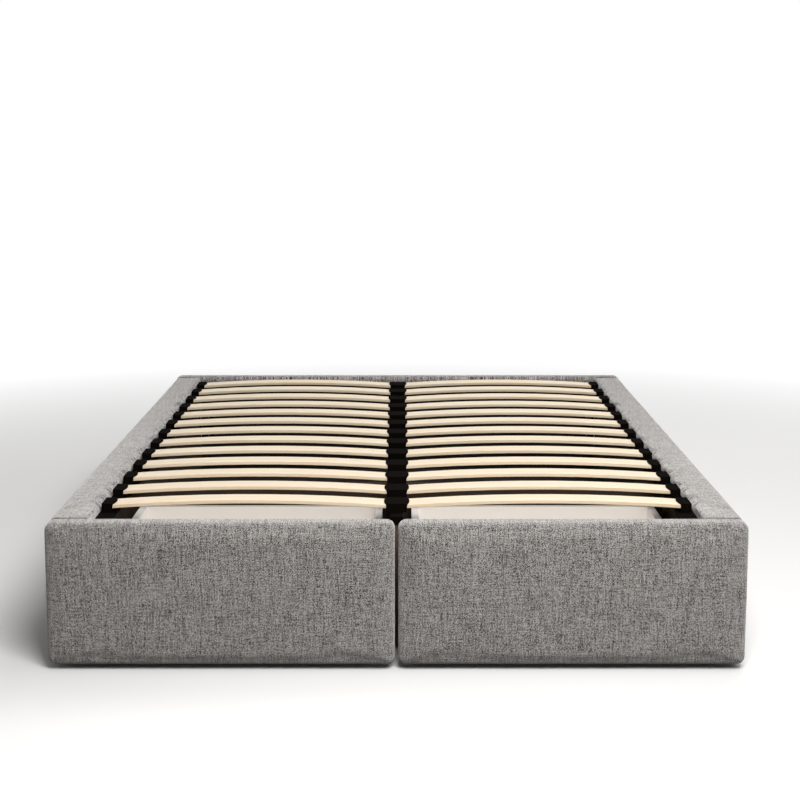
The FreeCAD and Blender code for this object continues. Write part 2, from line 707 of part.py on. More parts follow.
def make_bracket_screws():
    """The screws of the frame brackets and of the hanger."""
    rail_seats = rail_bracket_seats(lined_face_y, -1) + rail_bracket_seats(cross_rail_back_y, 1)
    screws = [screw(seat, RIGHT, SCREW_LENGTH) for seat in rail_seats]
    screws += [screw(seat, HEADWARD, PANEL_SCREW_LENGTH) for seat in head_bracket_seats()]
    screws += [screw(seat, -HEADWARD, SCREW_LENGTH) for seat in cross_bracket_seats()]
    hanger_screws = [screw(seat, HEADWARD, PANEL_SCREW_LENGTH) for seat in hanger_seats()]
    return group(both_sides(screws) + hanger_screws)


# Drawer boxes


def drawer_bracket_heights():
    """Middle heights of the brackets that hold a drawer's sides to its front."""
    reach = DRAWER_BRACKET_END + DRAWER_BRACKET_HEIGHT / 2
    return [drawer_z + reach, drawer_top_z - reach]


def side_seats(face_x):
    """Screw seats on the bracket legs that lie on a side's outer face."""
    y = front_back_y + DRAWER_BRACKET_LEG / 2
    return [V(face_x, y, z) for z in drawer_bracket_heights()]


def back_seats(face_x):
    """Screw seats on a side's outer face, for the screws into the drawer's back."""
    y = drawer_back_y - DRAWER_BOARD / 2
    return [V(face_x, y, z) for z in (drawer_z + DRAWER_SCREW_END, drawer_top_z - DRAWER_SCREW_END)]


def bottom_room():
    """The room that the bottom needs in its grooves."""
    spare = DRAWER_GROOVE_CLEARANCE
    x0, x1 = DRAWER_INNER_X + DRAWER_BOARD, drawer_outer_x - DRAWER_BOARD
    return box(
        x0 - DRAWER_GROOVE - spare, x1 + DRAWER_GROOVE + spare,
        front_back_y - OVERRUN, drawer_back_y - DRAWER_BOARD + DRAWER_GROOVE + spare,
        drawer_floor_z, drawer_floor_z + DRAWER_BOTTOM + spare,
    )


def drawer_side(x0, face_x, inward):
    """A side of the right drawer, grooved for the bottom, with its screw holes."""
    side = box(x0, x0 + DRAWER_BOARD, front_back_y, drawer_back_y, drawer_z, drawer_top_z)
    side = side.cut(bottom_room())
    side = drilled(side, side_seats(face_x), inward, SCREW_LENGTH)
    return drilled(side, back_seats(face_x), inward, DRAWER_BOARD + SCREW_LENGTH)


def make_drawer_sides():
    """The inner and the outer side of the right drawer."""
    inner = drawer_side(DRAWER_INNER_X, DRAWER_INNER_X, RIGHT)
    outer = drawer_side(drawer_outer_x - DRAWER_BOARD, drawer_outer_x, -RIGHT)
    return inner, outer


def make_drawer_back():
    """The back of the right drawer, between its sides."""
    back = box(
        DRAWER_INNER_X + DRAWER_BOARD, drawer_outer_x - DRAWER_BOARD,
        drawer_back_y - DRAWER_BOARD, drawer_back_y, drawer_z, drawer_top_z,
    ).cut(bottom_room())
    back = drilled(back, back_seats(DRAWER_INNER_X), RIGHT, DRAWER_BOARD + SCREW_LENGTH)
    return drilled(back, back_seats(drawer_outer_x), -RIGHT, DRAWER_BOARD + SCREW_LENGTH)


def make_drawer_bottom():
    """The thin bottom, held in the grooves and carried by the battens."""
    return box(
        DRAWER_INNER_X + DRAWER_BOARD - DRAWER_GROOVE, drawer_outer_x - DRAWER_BOARD + DRAWER_GROOVE,
        front_back_y, drawer_back_y - DRAWER_BOARD + DRAWER_GROOVE,
        drawer_floor_z, drawer_floor_z + DRAWER_BOTTOM,
    )


def batten_places():
    """Middles of the front and the rear batten along the bed."""
    reach = DRAWER_BATTEN_END + DRAWER_BATTEN_WIDTH / 2
    return [front_back_y + reach, drawer_back_y - DRAWER_BOARD - reach]


def make_drawer_battens():
    """The battens under the right drawer's bottom."""
    half = DRAWER_BATTEN_WIDTH / 2
    x0, x1 = DRAWER_INNER_X + DRAWER_BOARD, drawer_outer_x - DRAWER_BOARD
    return group([box(x0, x1, y - half, y + half, drawer_z, drawer_floor_z) for y in batten_places()])


def drawer_bracket(face_x, outward, z):
    """A small angle from a side's outer face to the front board."""
    z0, z1 = z - DRAWER_BRACKET_HEIGHT / 2, z + DRAWER_BRACKET_HEIGHT / 2
    along = sorted((face_x, face_x + outward * DRAWER_BRACKET_THICKNESS))
    across = sorted((face_x, face_x + outward * DRAWER_BRACKET_LEG))
    y0 = front_back_y
    side_leg = box(*along, y0, y0 + DRAWER_BRACKET_LEG, z0, z1)
    front_leg = box(*across, y0, y0 + DRAWER_BRACKET_THICKNESS, z0, z1)
    plate = drilled(joined(side_leg, front_leg), front_board_seats(), -HEADWARD, SCREW_LENGTH)
    return drilled(plate, side_seats(face_x), -RIGHT * outward, SCREW_LENGTH)


def drawer_faces():
    """Each side's outer face, with the way it looks across the bed."""
    return ((DRAWER_INNER_X, -1), (drawer_outer_x, 1))


def make_drawer_brackets():
    """The brackets on the outer faces of the right drawer's sides."""
    heights = drawer_bracket_heights()
    return group([drawer_bracket(x, outward, z) for x, outward in drawer_faces() for z in heights])


def make_drawer_screws():
    """The screws of the right drawer's brackets and back."""
    screws = [screw(seat, -HEADWARD, SCREW_LENGTH) for seat in front_board_seats()]
    for face_x, outward in drawer_faces():
        on_bracket = face_x + outward * DRAWER_BRACKET_THICKNESS
        inward = -RIGHT * outward
        screws += [screw(seat, inward, SCREW_LENGTH) for seat in side_seats(on_bracket)]
        screws += [screw(seat, inward, DRAWER_BOARD + SCREW_LENGTH) for seat in back_seats(face_x)]
    return group(screws)


# Castors


def castor_places():
    """Middles of the right drawer's castors, by name."""
    x0, x1 = DRAWER_INNER_X + DRAWER_BOARD + CASTOR_INSET, drawer_outer_x - DRAWER_BOARD - CASTOR_INSET
    front_y, rear_y = batten_places()
    return {
        "front_inner": V(x0, front_y, axle_z),
        "front_outer": V(x1, front_y, axle_z),
        "rear_inner": V(x0, rear_y, axle_z),
        "rear_outer": V(x1, rear_y, axle_z),
    }


def fork_half():
    """Half the width across a fork's cheeks."""
    return WHEEL_WIDTH / 2 + FORK_SIDE_ROOM + FORK_WALL


def castor_fork(middle):
    """A castor's plate and two cheeks, with holes for the axle."""
    x, y, z = middle
    plate_z = drawer_z - FORK_WALL
    plate = box(
        x - FORK_PLATE_WIDTH / 2, x + FORK_PLATE_WIDTH / 2,
        y - FORK_PLATE_LENGTH / 2, y + FORK_PLATE_LENGTH / 2, plate_z, drawer_z,
    )
    cheeks = []
    for x0 in (x - fork_half(), x + fork_half() - FORK_WALL):
        x1 = x0 + FORK_WALL
        cheeks.append(box(x0, x1, y - FORK_CHEEK_RADIUS, y + FORK_CHEEK_RADIUS, z, plate_z))
        cheeks.append(rod(FORK_CHEEK_RADIUS, V(x0, y, z), V(x1, y, z)))
    reach = RIGHT * (fork_half() + OVERRUN)
    return joined(plate, *cheeks).cut(rod(AXLE_RADIUS + AXLE_CLEARANCE, middle - reach, middle + reach))


def castor_axle(middle):
    """A riveted axle across a fork."""
    reach = RIGHT * fork_half()
    head = RIGHT * AXLE_HEAD_THICKNESS
    shaft = rod(AXLE_RADIUS, middle - reach, middle + reach)
    near = rod(AXLE_HEAD_RADIUS, middle - reach - head, middle - reach)
    far = rod(AXLE_HEAD_RADIUS, middle + reach, middle + reach + head)
    return joined(shaft, near, far)


def castor_wheel(middle):
    """A plastic wheel with a rounded tread and dished faces, free on its axle."""
    half = RIGHT * (WHEEL_WIDTH / 2)
    disc = rod(WHEEL_RADIUS, middle - half, middle + half)
    disc = disc.makeFillet(WHEEL_EDGE_RADIUS, [edge for edge in disc.Edges if edge.Closed])
    dish = RIGHT * WHEEL_DISH
    cuts = [rod(AXLE_RADIUS + AXLE_CLEARANCE, middle - half, middle + half)]
    for face, inward in ((middle - half, dish), (middle + half, -dish)):
        ring = rod(WHEEL_RADIUS - WHEEL_RIM, face, face + inward)
        cuts.append(ring.cut(rod(FORK_CHEEK_RADIUS, face, face + inward)))
    return disc.cut(cuts)


def make_castor_forks():
    """The four forks under the right drawer."""
    return group([castor_fork(middle) for middle in castor_places().values()])


def make_castor_axles():
    """The four axles under the right drawer."""
    return group([castor_axle(middle) for middle in castor_places().values()])


def right_half():
    """The nodes of the right half, which the left half mirrors."""
    front_cover, front_board = make_drawer_front()
    inner_side, outer_side = make_drawer_sides()
    nodes = {
        "rail_cover": make_rail_cover(),
        "rail_inner_board": make_rail_inner_board(),
        "rail_outer_board": make_rail_outer_board(),
        "rail_battens": make_rail_battens(),
        "slat_ledger": make_ledger(),
        "slats": make_slats(),
        "slat_holders": make_rail_holders(),
        "drawer_front_cover": front_cover,
        "drawer_front_board": front_board,
        "drawer_inner_side": inner_side,
        "drawer_outer_side": outer_side,
        "drawer_back": make_drawer_back(),
        "drawer_bottom": make_drawer_bottom(),
        "drawer_battens": make_drawer_battens(),
        "drawer_brackets": make_drawer_brackets(),
        "drawer_screws": make_drawer_screws(),
        "castor_forks": make_castor_forks(),
        "castor_axles": make_castor_axles(),
    }
    for place, middle in castor_places().items():
        nodes["wheel_" + place] = castor_wheel(middle)
    return nodes


def whole_width():
    """The nodes that cross the middle of the bed or serve both sides."""
    head_cover, head_board = make_head_panel()
    return {
        "head_cover": head_cover,
        "head_board": head_board,
        "centre_slat_holders": make_centre_holders(),
        "centre_rail": make_centre_rail(),
        "centre_rail_end_cap": make_end_cap(),
        "centre_rail_hanger": make_hanger(),
        "centre_divider": make_divider(),
        "centre_legs": make_legs(),
        "centre_leg_feet": make_leg_feet(),
        "cross_rail": make_cross_rail(),
        "floor_glides": make_glides(),
        "head_lining": make_head_lining(),
        "base_lining": make_base_lining(),
        "frame_brackets": make_frame_brackets(),
        "ledger_screws": make_ledger_screws(),
        "bracket_screws": make_bracket_screws(),
    }


def main():
    """Builds every node and writes one STEP file for each."""
    nodes = whole_width()
    for name, shape in right_half().items():
        nodes["right_" + name] = shape
        nodes["left_" + name] = mirrored(shape)
    os.makedirs("parts", exist_ok=True)
    for name, shape in sorted(nodes.items()):
        if not shape.isValid():
            print("not valid:", name)
        print(name, "solids", len(shape.Solids), "litres", round(shape.Volume / CUBIC_MM_PER_LITRE, 3))
        shape.exportStep("parts/" + name + ".step")


main()
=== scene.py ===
"""Looks of an upholstered storage bed with two drawers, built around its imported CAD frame."""

import json
import logging
import math
from collections.abc import Callable
from dataclasses import dataclass, field
from enum import Enum

import bmesh
import bpy
import numpy as np
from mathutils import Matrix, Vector


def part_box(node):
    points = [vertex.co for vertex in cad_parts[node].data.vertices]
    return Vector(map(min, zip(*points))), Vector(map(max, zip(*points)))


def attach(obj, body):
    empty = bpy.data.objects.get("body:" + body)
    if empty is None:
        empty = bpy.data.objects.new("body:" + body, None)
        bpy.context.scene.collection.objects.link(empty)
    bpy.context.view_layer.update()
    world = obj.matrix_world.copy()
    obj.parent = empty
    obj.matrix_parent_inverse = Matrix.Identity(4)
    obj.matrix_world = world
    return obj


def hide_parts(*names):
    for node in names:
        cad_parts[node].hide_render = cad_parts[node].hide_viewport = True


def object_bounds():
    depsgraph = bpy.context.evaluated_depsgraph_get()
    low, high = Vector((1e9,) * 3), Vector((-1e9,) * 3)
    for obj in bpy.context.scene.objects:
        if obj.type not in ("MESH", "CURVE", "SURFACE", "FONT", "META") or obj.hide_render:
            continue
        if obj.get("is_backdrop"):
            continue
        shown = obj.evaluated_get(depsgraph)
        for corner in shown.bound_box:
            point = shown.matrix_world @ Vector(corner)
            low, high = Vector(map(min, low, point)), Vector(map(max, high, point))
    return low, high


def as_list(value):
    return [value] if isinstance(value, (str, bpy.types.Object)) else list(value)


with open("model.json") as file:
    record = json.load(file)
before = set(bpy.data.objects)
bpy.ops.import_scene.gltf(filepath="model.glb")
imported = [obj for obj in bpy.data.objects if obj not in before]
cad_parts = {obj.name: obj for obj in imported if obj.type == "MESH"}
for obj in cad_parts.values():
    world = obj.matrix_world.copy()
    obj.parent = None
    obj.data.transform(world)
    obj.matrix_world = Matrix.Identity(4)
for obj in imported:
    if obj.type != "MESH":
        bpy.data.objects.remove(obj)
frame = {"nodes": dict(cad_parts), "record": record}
CAD_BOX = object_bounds()

LOG = logging.getLogger("storage_bed")
CLOTH_MAP = "cloth"
FREE_GROUP = "free"
HELD_GROUP = "held"
VECTOR_SOCKETS = ("Cloth", "Place", "Normal")
MOST_CUTS = 60
LONG_EDGE_SHARE = 1.5
SAME_PLACE = 1e-5

# How far a cut runs on past the open side of what it cuts, in metres
CUT_REACH = 0.01

# Creases sharper than these stay sharp
COVER_CREASE = math.radians(50)
SHEET_CREASE = math.radians(40)

# The weave: how far apart neighbouring threads read their noise, how they waver, and the cloth's cloudiness
THREAD_STEP = 7.31
WAVER_ACROSS = 0.006
WAVER_ALONG = 0.03
CLOTH_CLOUD = (0.11, 0.11, 0.11)

Colour = tuple[float, float, float, float]
Point = tuple[float, float, float]
Feed = bpy.types.NodeSocket | float | Point | Colour


class Side(Enum):
    """A side of the bed, as seen from its foot."""

    LEFT = -1
    RIGHT = 1

    @property
    def word(self) -> str:
        """The side's name at the start of its CAD nodes."""
        return self.name.lower()

    @property
    def faces(self) -> tuple["Face", "Face"]:
        """The face that looks to the bed's middle on this side, and the one that looks out."""
        return (Face.LEFT, Face.RIGHT) if self is Side.RIGHT else (Face.RIGHT, Face.LEFT)


class Axis(Enum):
    """An axis of the bed: across it, towards its head, and up."""

    ACROSS = 0
    ALONG = 1
    UP = 2


class Face(Enum):
    """A face of a box, as an axis and a direction on it."""

    LEFT = (0, -1)
    RIGHT = (0, 1)
    FOOT = (1, -1)
    HEAD = (1, 1)
    BOTTOM = (2, -1)
    TOP = (2, 1)

    @property
    def axis(self) -> int:
        """The axis that the face stands across."""
        return self.value[0]

    @property
    def way(self) -> int:
        """Which way along that axis the face looks."""
        return self.value[1]

    def level(self, low: np.ndarray | Vector, high: np.ndarray | Vector) -> float:
        """Where the face of a box with these corners lies on its axis."""
        return high[self.axis] if self.way > 0 else low[self.axis]


def shade(red: int, green: int, blue: int) -> Colour:
    """Turns a colour as a screen shows it into the linear colour that shaders take.

    Args:
        red: Red from 0 to 255.
        green: Green from 0 to 255.
        blue: Blue from 0 to 255.

    Returns:
        The linear colour with full alpha.
    """
    parts = [value / 255 for value in (red, green, blue)]
    linear = [p / 12.92 if p <= 0.04045 else ((p + 0.055) / 1.055) ** 2.4 for p in parts]
    return (linear[0], linear[1], linear[2], 1.0)


# Node trees


class NodeBoard:
    """A node tree with short ways to add, fill and join its nodes."""

    def __init__(self, tree: bpy.types.NodeTree) -> None:
        """Takes the tree that the nodes go into."""
        self.tree = tree

    def add(self, kind: str, **settings: object) -> bpy.types.Node:
        """Adds a shader node.

        Args:
            kind: The node's type, without Blender's prefix.
            **settings: Properties of the node.

        Returns:
            The new node.
        """
        node = self.tree.nodes.new("ShaderNode" + kind)
        for name, value in settings.items():
            setattr(node, name, value)
        return node

    def feed(self, socket: bpy.types.NodeSocket, value: Feed) -> None:
        """Joins a socket to another one, or gives it a plain value."""
        if isinstance(value, bpy.types.NodeSocket):
            self.tree.links.new(value, socket)
        else:
            socket.default_value = value

    def fill(self, node: bpy.types.Node, **inputs: Feed) -> None:
        """Feeds several inputs of a node, by name, with spaces as underscores."""
        for name, value in inputs.items():
            self.feed(node.inputs[name.replace("_", " ")], value)

    def math(
        self, operation: str, first: Feed, second: Feed = 0.0, clamp: bool = False
    ) -> bpy.types.NodeSocket:
        """Works out one sum.

        Args:
            operation: Blender's name of the sum.
            first: The first number.
            second: The second number, where the sum has one.
            clamp: Whether the result is kept from 0 to 1.

        Returns:
            The socket with the result.
        """
        node = self.add("Math", operation=operation, use_clamp=clamp)
        self.feed(node.inputs[0], first)
        self.feed(node.inputs[1], second)
        return node.outputs[0]

    def vector(self, operation: str, first: Feed, second: Feed) -> bpy.types.NodeSocket:
        """Works out one sum of two vectors.

        Args:
            operation: Blender's name of the sum.
            first: The first vector.
            second: The second vector.

        Returns:
            The socket with the result.
        """
        node = self.add("VectorMath", operation=operation)
        self.feed(node.inputs[0], first)
        self.feed(node.inputs[1], second)
        return node.outputs["Value" if operation == "DOT_PRODUCT" else "Vector"]

    def split(self, vector: Feed) -> list[bpy.types.NodeSocket]:
        """The three parts of a vector."""
        node = self.add("SeparateXYZ")
        self.feed(node.inputs[0], vector)
        return list(node.outputs)

    def join(self, first: Feed, second: Feed, third: Feed = 0.0) -> bpy.types.NodeSocket:
        """A vector from its three parts."""
        node = self.add("CombineXYZ")
        for socket, value in zip(node.inputs, (first, second, third)):
            self.feed(socket, value)
        return node.outputs[0]

    def noise(
        self, place: Feed, detail: float = 2.0, roughness: float = 0.5, twist: float = 0.0
    ) -> bpy.types.NodeSocket:
        """Soft noise with features about one unit across.

        Args:
            place: Where it is read.
            detail: How many finer layers it has.
            roughness: How strong those layers are.
            twist: How far it is distorted.

        Returns:
            A value from 0 to 1.
        """
        node = self.add("TexNoise")
        self.fill(node, Vector=place, Scale=1.0, Detail=detail, Roughness=roughness, Distortion=twist)
        return node.outputs["Fac"]

    def stretched(self, place: Feed, sizes: Point) -> bpy.types.NodeSocket:
        """A place counted in features of these sizes, in metres."""
        return self.vector("DIVIDE", place, sizes)

    def span(
        self, value: Feed, low: float, high: float, to_low: float = 0.0, to_high: float = 1.0
    ) -> bpy.types.NodeSocket:
        """Maps a value from one range to another and stops at its ends.

        Args:
            value: What is mapped.
            low: The start of its range.
            high: The end of its range.
            to_low: What the start becomes.
            to_high: What the end becomes.

        Returns:
            The mapped value.
        """
        node = self.add("MapRange", clamp=True)
        for socket, number in zip(node.inputs, (value, low, high, to_low, to_high)):
            self.feed(socket, number)
        return node.outputs[0]

    def vary(self, value: Feed, middle: float, below: float, above: float) -> bpy.types.NodeSocket:
        """A number from so far below a middle to so far above it, as a value goes from 0 to 1."""
        return self.span(value, 0.0, 1.0, middle - below, middle + above)

    def blend(self, share: Feed, first: Feed, second: Feed) -> bpy.types.NodeSocket:
        """A colour between two colours.

        Args:
            share: How much of the second colour there is.
            first: The first colour.
            second: The second colour.

        Returns:
            The mixed colour.
        """
        node = self.add("Mix", data_type="RGBA")
        self.feed(node.inputs[0], share)
        self.feed(node.inputs[6], first)
        self.feed(node.inputs[7], second)
        return node.outputs[2]

    def group(self, tree: bpy.types.NodeTree, **inputs: Feed) -> dict[str, bpy.types.NodeSocket]:
        """Places a node group.

        Args:
            tree: The group.
            **inputs: What its sockets get, by name, with spaces as underscores.

        Returns:
            The group's outputs by name.
        """
        node = self.add("Group", node_tree=tree)
        self.fill(node, **inputs)
        return {socket.name: socket for socket in node.outputs}

    def bump(
        self, height: Feed, depth: float, strength: float, normal: Feed | None = None
    ) -> bpy.types.NodeSocket:
        """A normal from a height.

        Args:
            height: The height, from 0 to 1.
            depth: What a height of 1 is, in metres.
            strength: How much of it shows.
            normal: The normal that it starts from, where it isn't the surface's own.

        Returns:
            The new normal.
        """
        node = self.add("Bump")
        self.fill(node, Strength=strength, Distance=depth, Height=height)
        if normal is not None:
            self.feed(node.inputs["Normal"], normal)
        return node.outputs[0]

    def places(self) -> bpy.types.NodeSocket:
        """The surface's place in the bed, in metres."""
        return self.add("TexCoord").outputs["Object"]


def new_group(
    name: str, inputs: list[str], outputs: list[str]
) -> tuple[NodeBoard, dict[str, bpy.types.NodeSocket], dict[str, bpy.types.NodeSocket]]:
    """Starts a shader node group with its sockets, which hold numbers unless their names are of vectors.

    Args:
        name: The group's name.
        inputs: The names of its input sockets.
        outputs: The names of its output sockets.

    Returns:
        The board to draw it on, its inputs by name and its outputs by name.
    """
    tree = bpy.data.node_groups.new(name, "ShaderNodeTree")
    for sockets, way in ((inputs, "INPUT"), (outputs, "OUTPUT")):
        for socket in sockets:
            kind = "NodeSocketVector" if socket in VECTOR_SOCKETS else "NodeSocketFloat"
            tree.interface.new_socket(socket, in_out=way, socket_type=kind)
    entry = tree.nodes.new("NodeGroupInput")
    leave = tree.nodes.new("NodeGroupOutput")
    entries = {socket.name: socket for socket in entry.outputs if socket.name}
    leaves = {socket.name: socket for socket in leave.inputs if socket.name}
    return NodeBoard(tree), entries, leaves


class Effects:
    """The surface effects that the finishes share, each a node group built once."""

    made: dict[str, bpy.types.NodeTree] = {}

    @classmethod
    def get(cls, name: str, build: Callable[[str], bpy.types.NodeTree]) -> bpy.types.NodeTree:
        """The group of that name, built the first time it is asked for."""
        if name not in cls.made:
            cls.made[name] = build(name)
        return cls.made[name]

    @classmethod
    def weave(cls) -> bpy.types.NodeTree:
        """A plain weave of uneven, heathered yarn."""
        return cls.get("uneven weave", cls._build_weave)

    @classmethod
    def grain(cls) -> bpy.types.NodeTree:
        """Wood grain that runs along the place's first axis."""
        return cls.get("wood grain", cls._build_grain)

    @classmethod
    def mottle(cls) -> bpy.types.NodeTree:
        """Cloudy tone, fine speckle and a fine moulded or sprayed texture."""
        return cls.get("mottle", cls._build_mottle)

    @classmethod
    def edge(cls) -> bpy.types.NodeTree:
        """Softly rounded edges, and a mask of where hands and tools rub them."""
        return cls.get("rubbed edge", cls._build_edge)

    @staticmethod
    def _build_weave(name: str) -> bpy.types.NodeTree:
        """Draws the weave.

        Args:
            name: The group's name.

        Returns:
            The group, with the cloth's place in metres and the yarn's sizes as inputs.
        """
        board, given, result = new_group(
            name,
            [
                "Cloth", "Warp Pitch", "Weft Pitch", "Fleck Length", "Streak Length",
                "Fleck Share", "Warp Share", "Weft Share",
            ],
            ["Tone", "Height", "Cloud"],
        )
        u, v, _ = board.split(given["Cloth"])
        ways = [(u, v, "Warp Pitch", "Warp Share", 1.0), (v, u, "Weft Pitch", "Weft Share", 5.0)]
        threads, tones, ridges = [], [], []
        for across, along, pitch, share, layer in ways:
            waver = board.noise(board.join(
                board.math("DIVIDE", across, WAVER_ACROSS), board.math("DIVIDE", along, WAVER_ALONG), layer))
            count = board.math("ADD", board.math("DIVIDE", across, given[pitch]), waver)
            thread = board.math("FLOOR", count)
            own_line = board.math("MULTIPLY", thread, THREAD_STEP)
            fleck = board.noise(board.join(
                own_line, board.math("DIVIDE", along, given["Fleck Length"]), layer), detail=1.0)
            streak = board.noise(board.join(
                own_line, board.math("DIVIDE", along, given["Streak Length"]), layer + 2.0), detail=1.0)
            yarn: Feed = 0.5
            for value, strength in ((fleck, "Fleck Share"), (streak, share)):
                swing = board.math("SUBTRACT", value, 0.5)
                yarn = board.math("ADD", yarn, board.math("MULTIPLY", swing, given[strength]))
            threads.append(thread)
            tones.append(yarn)
            ridges.append(board.math("SINE", board.math("MULTIPLY", board.math("FRACT", count), math.pi)))
        over = board.math("FLOORED_MODULO", board.math("ADD", *threads), 2.0)
        under = board.math("SUBTRACT", 1.0, over)

        def woven(values: list[bpy.types.NodeSocket]) -> bpy.types.NodeSocket:
            """The value of whichever thread lies on top."""
            warp = board.math("MULTIPLY", values[0], over)
            return board.math("ADD", warp, board.math("MULTIPLY", values[1], under))

        tone = woven(tones)
        fullness = board.span(tone, 0.0, 1.0, 0.6, 1.0)
        board.feed(result["Tone"], board.span(tone, 0.0, 1.0))
        board.feed(result["Height"], board.math("MULTIPLY", woven(ridges), fullness))
        board.feed(result["Cloud"], board.noise(board.stretched(given["Cloth"], CLOTH_CLOUD), detail=3.0))
        return board.tree

    @staticmethod
    def _build_grain(name: str) -> bpy.types.NodeTree:
        """Draws the grain.

        Args:
            name: The group's name.

        Returns:
            The group, with a place whose first axis runs along the grain.
        """
        board, given, result = new_group(name, ["Place", "Length", "Width"], ["Tone", "Pores"])
        along, across, through = board.split(given["Place"])

        def read(longer: float, wider: float, detail: float, twist: float) -> bpy.types.NodeSocket:
            """Noise in streaks so many times as long and wide as the grain's sizes."""
            long = board.math("DIVIDE", along, board.math("MULTIPLY", given["Length"], longer))
            wide = board.math("MULTIPLY", given["Width"], wider)
            place = board.join(long, board.math("DIVIDE", across, wide), board.math("DIVIDE", through, wide))
            return board.noise(place, detail=detail, twist=twist)

        streak = read(1.0, 1.0, 3.0, 0.2)
        figure = read(2.4, 7.0, 2.0, 0.8)
        pores = read(0.05, 0.2, 1.0, 0.0)
        tone = board.math("ADD", board.math("MULTIPLY", streak, 0.6), board.math("MULTIPLY", figure, 0.4))
        board.feed(result["Tone"], board.span(tone, 0.3, 0.7))
        board.feed(result["Pores"], board.span(pores, 0.6, 0.78))
        return board.tree

    @staticmethod
    def _build_mottle(name: str) -> bpy.types.NodeTree:
        """Draws the mottle.

        Args:
            name: The group's name.

        Returns:
            The group, with the place and the size of its fine texture as inputs.
        """
        board, given, result = new_group(name, ["Place", "Size"], ["Cloud", "Speckle", "Height"])
        fine = board.add("VectorMath", operation="SCALE")
        board.feed(fine.inputs[0], given["Place"])
        board.feed(fine.inputs["Scale"], board.math("DIVIDE", 1.0, given["Size"]))
        cloud = board.noise(board.stretched(given["Place"], (0.14, 0.14, 0.14)), detail=4.0, roughness=0.6)
        height = board.noise(fine.outputs["Vector"], detail=2.0)
        board.feed(result["Cloud"], board.span(cloud, 0.3, 0.7))
        board.feed(result["Speckle"], board.span(height, 0.58, 0.72))
        board.feed(result["Height"], height)
        return board.tree

    @staticmethod
    def _build_edge(name: str) -> bpy.types.NodeTree:
        """Draws the rubbed edge.

        Args:
            name: The group's name.

        Returns:
            The group, with the place and the edge's radius as inputs.
        """
        board, given, result = new_group(name, ["Place", "Radius"], ["Rub", "Normal"])
        round_off = board.add("Bevel", samples=4)
        board.feed(round_off.inputs["Radius"], given["Radius"])
        plain = board.add("NewGeometry").outputs["Normal"]
        lean = board.vector("DOT_PRODUCT", round_off.outputs[0], plain)
        edge = board.span(lean, 0.99, 0.8)
        patch = board.noise(board.stretched(given["Place"], (0.03, 0.03, 0.03)), detail=4.0, roughness=0.65)
        board.feed(result["Rub"], board.math("MULTIPLY", edge, board.span(patch, 0.4, 0.65)))
        board.feed(result["Normal"], round_off.outputs[0])
        return board.tree


# Finishes


@dataclass(frozen=True)
class Finish:
    """A finish of the bed: a procedural material that is made once and shared by its pieces."""

    name: str

    def material(self) -> bpy.types.Material:
        """The finish's material, made the first time it is asked for."""
        known = bpy.data.materials.get(self.name)
        if known is not None:
            return known
        made = bpy.data.materials.new(self.name)
        made.use_nodes = True
        self.paint(NodeBoard(made.node_tree), made.node_tree.nodes["Principled BSDF"])
        return made

    def paint(self, board: NodeBoard, shader: bpy.types.Node) -> None:
        """Draws the finish into its material."""
        raise NotImplementedError


@dataclass(frozen=True)
class HeatherCloth(Finish):
    """Heathered linen-look cloth of uneven yarn, woven in the cloth's own directions."""

    dark: Colour
    light: Colour
    sheen_dark: Colour
    sheen_light: Colour
    warp_pitch: float = 0.0013
    weft_pitch: float = 0.0014
    fleck_length: float = 0.003
    streak_length: float = 0.05
    fleck_share: float = 11.0
    warp_share: float = 7.6
    weft_share: float = 5.0
    roughness: float = 0.95
    sheen: float = 1.0
    sheen_roughness: float = 0.6

    def paint(self, board: NodeBoard, shader: bpy.types.Node) -> None:
        """Draws the weave, its flecks and its soft unevenness."""
        cloth = board.add("UVMap", uv_map=CLOTH_MAP).outputs["UV"]
        weave = board.group(
            Effects.weave(), Cloth=cloth, Warp_Pitch=self.warp_pitch, Weft_Pitch=self.weft_pitch,
            Fleck_Length=self.fleck_length, Streak_Length=self.streak_length,
            Fleck_Share=self.fleck_share, Warp_Share=self.warp_share, Weft_Share=self.weft_share,
        )
        tone = board.math("ADD", weave["Tone"], board.span(weave["Cloud"], 0.2, 0.8, -0.08, 0.08), clamp=True)
        board.fill(
            shader,
            Base_Color=board.blend(tone, self.dark, self.light),
            Roughness=self.roughness,
            Specular_IOR_Level=0.2,
            Sheen_Weight=self.sheen,
            Sheen_Roughness=self.sheen_roughness,
            Sheen_Tint=board.blend(tone, self.sheen_dark, self.sheen_light),
            Normal=board.bump(weave["Height"], 0.0007, 0.5),
        )


@dataclass(frozen=True)
class LiningCloth(Finish):
    """Black spun lining cloth: pressed points in rows over loose fibre."""

    dark: Colour
    light: Colour
    point: float = 0.0022

    def paint(self, board: NodeBoard, shader: bpy.types.Node) -> None:
        """Draws the fibre and the pressed points."""
        place = board.places()
        fibre = board.group(Effects.mottle(), Place=place, Size=0.0016)
        rows = [board.math("SINE", board.math("MULTIPLY", part, 2 * math.pi / self.point))
                for part in board.split(place)]
        crossed = board.math("MULTIPLY", rows[0], board.math("ADD", rows[1], rows[2]))
        points = board.math("MULTIPLY", crossed, 0.25)
        tone = board.math("ADD", fibre["Height"], points, clamp=True)
        board.fill(
            shader,
            Base_Color=board.blend(tone, self.dark, self.light),
            Roughness=board.span(fibre["Cloud"], 0.0, 1.0, 0.8, 0.95),
            Specular_IOR_Level=0.2,
            Normal=board.bump(tone, 0.0004, 0.5),
        )


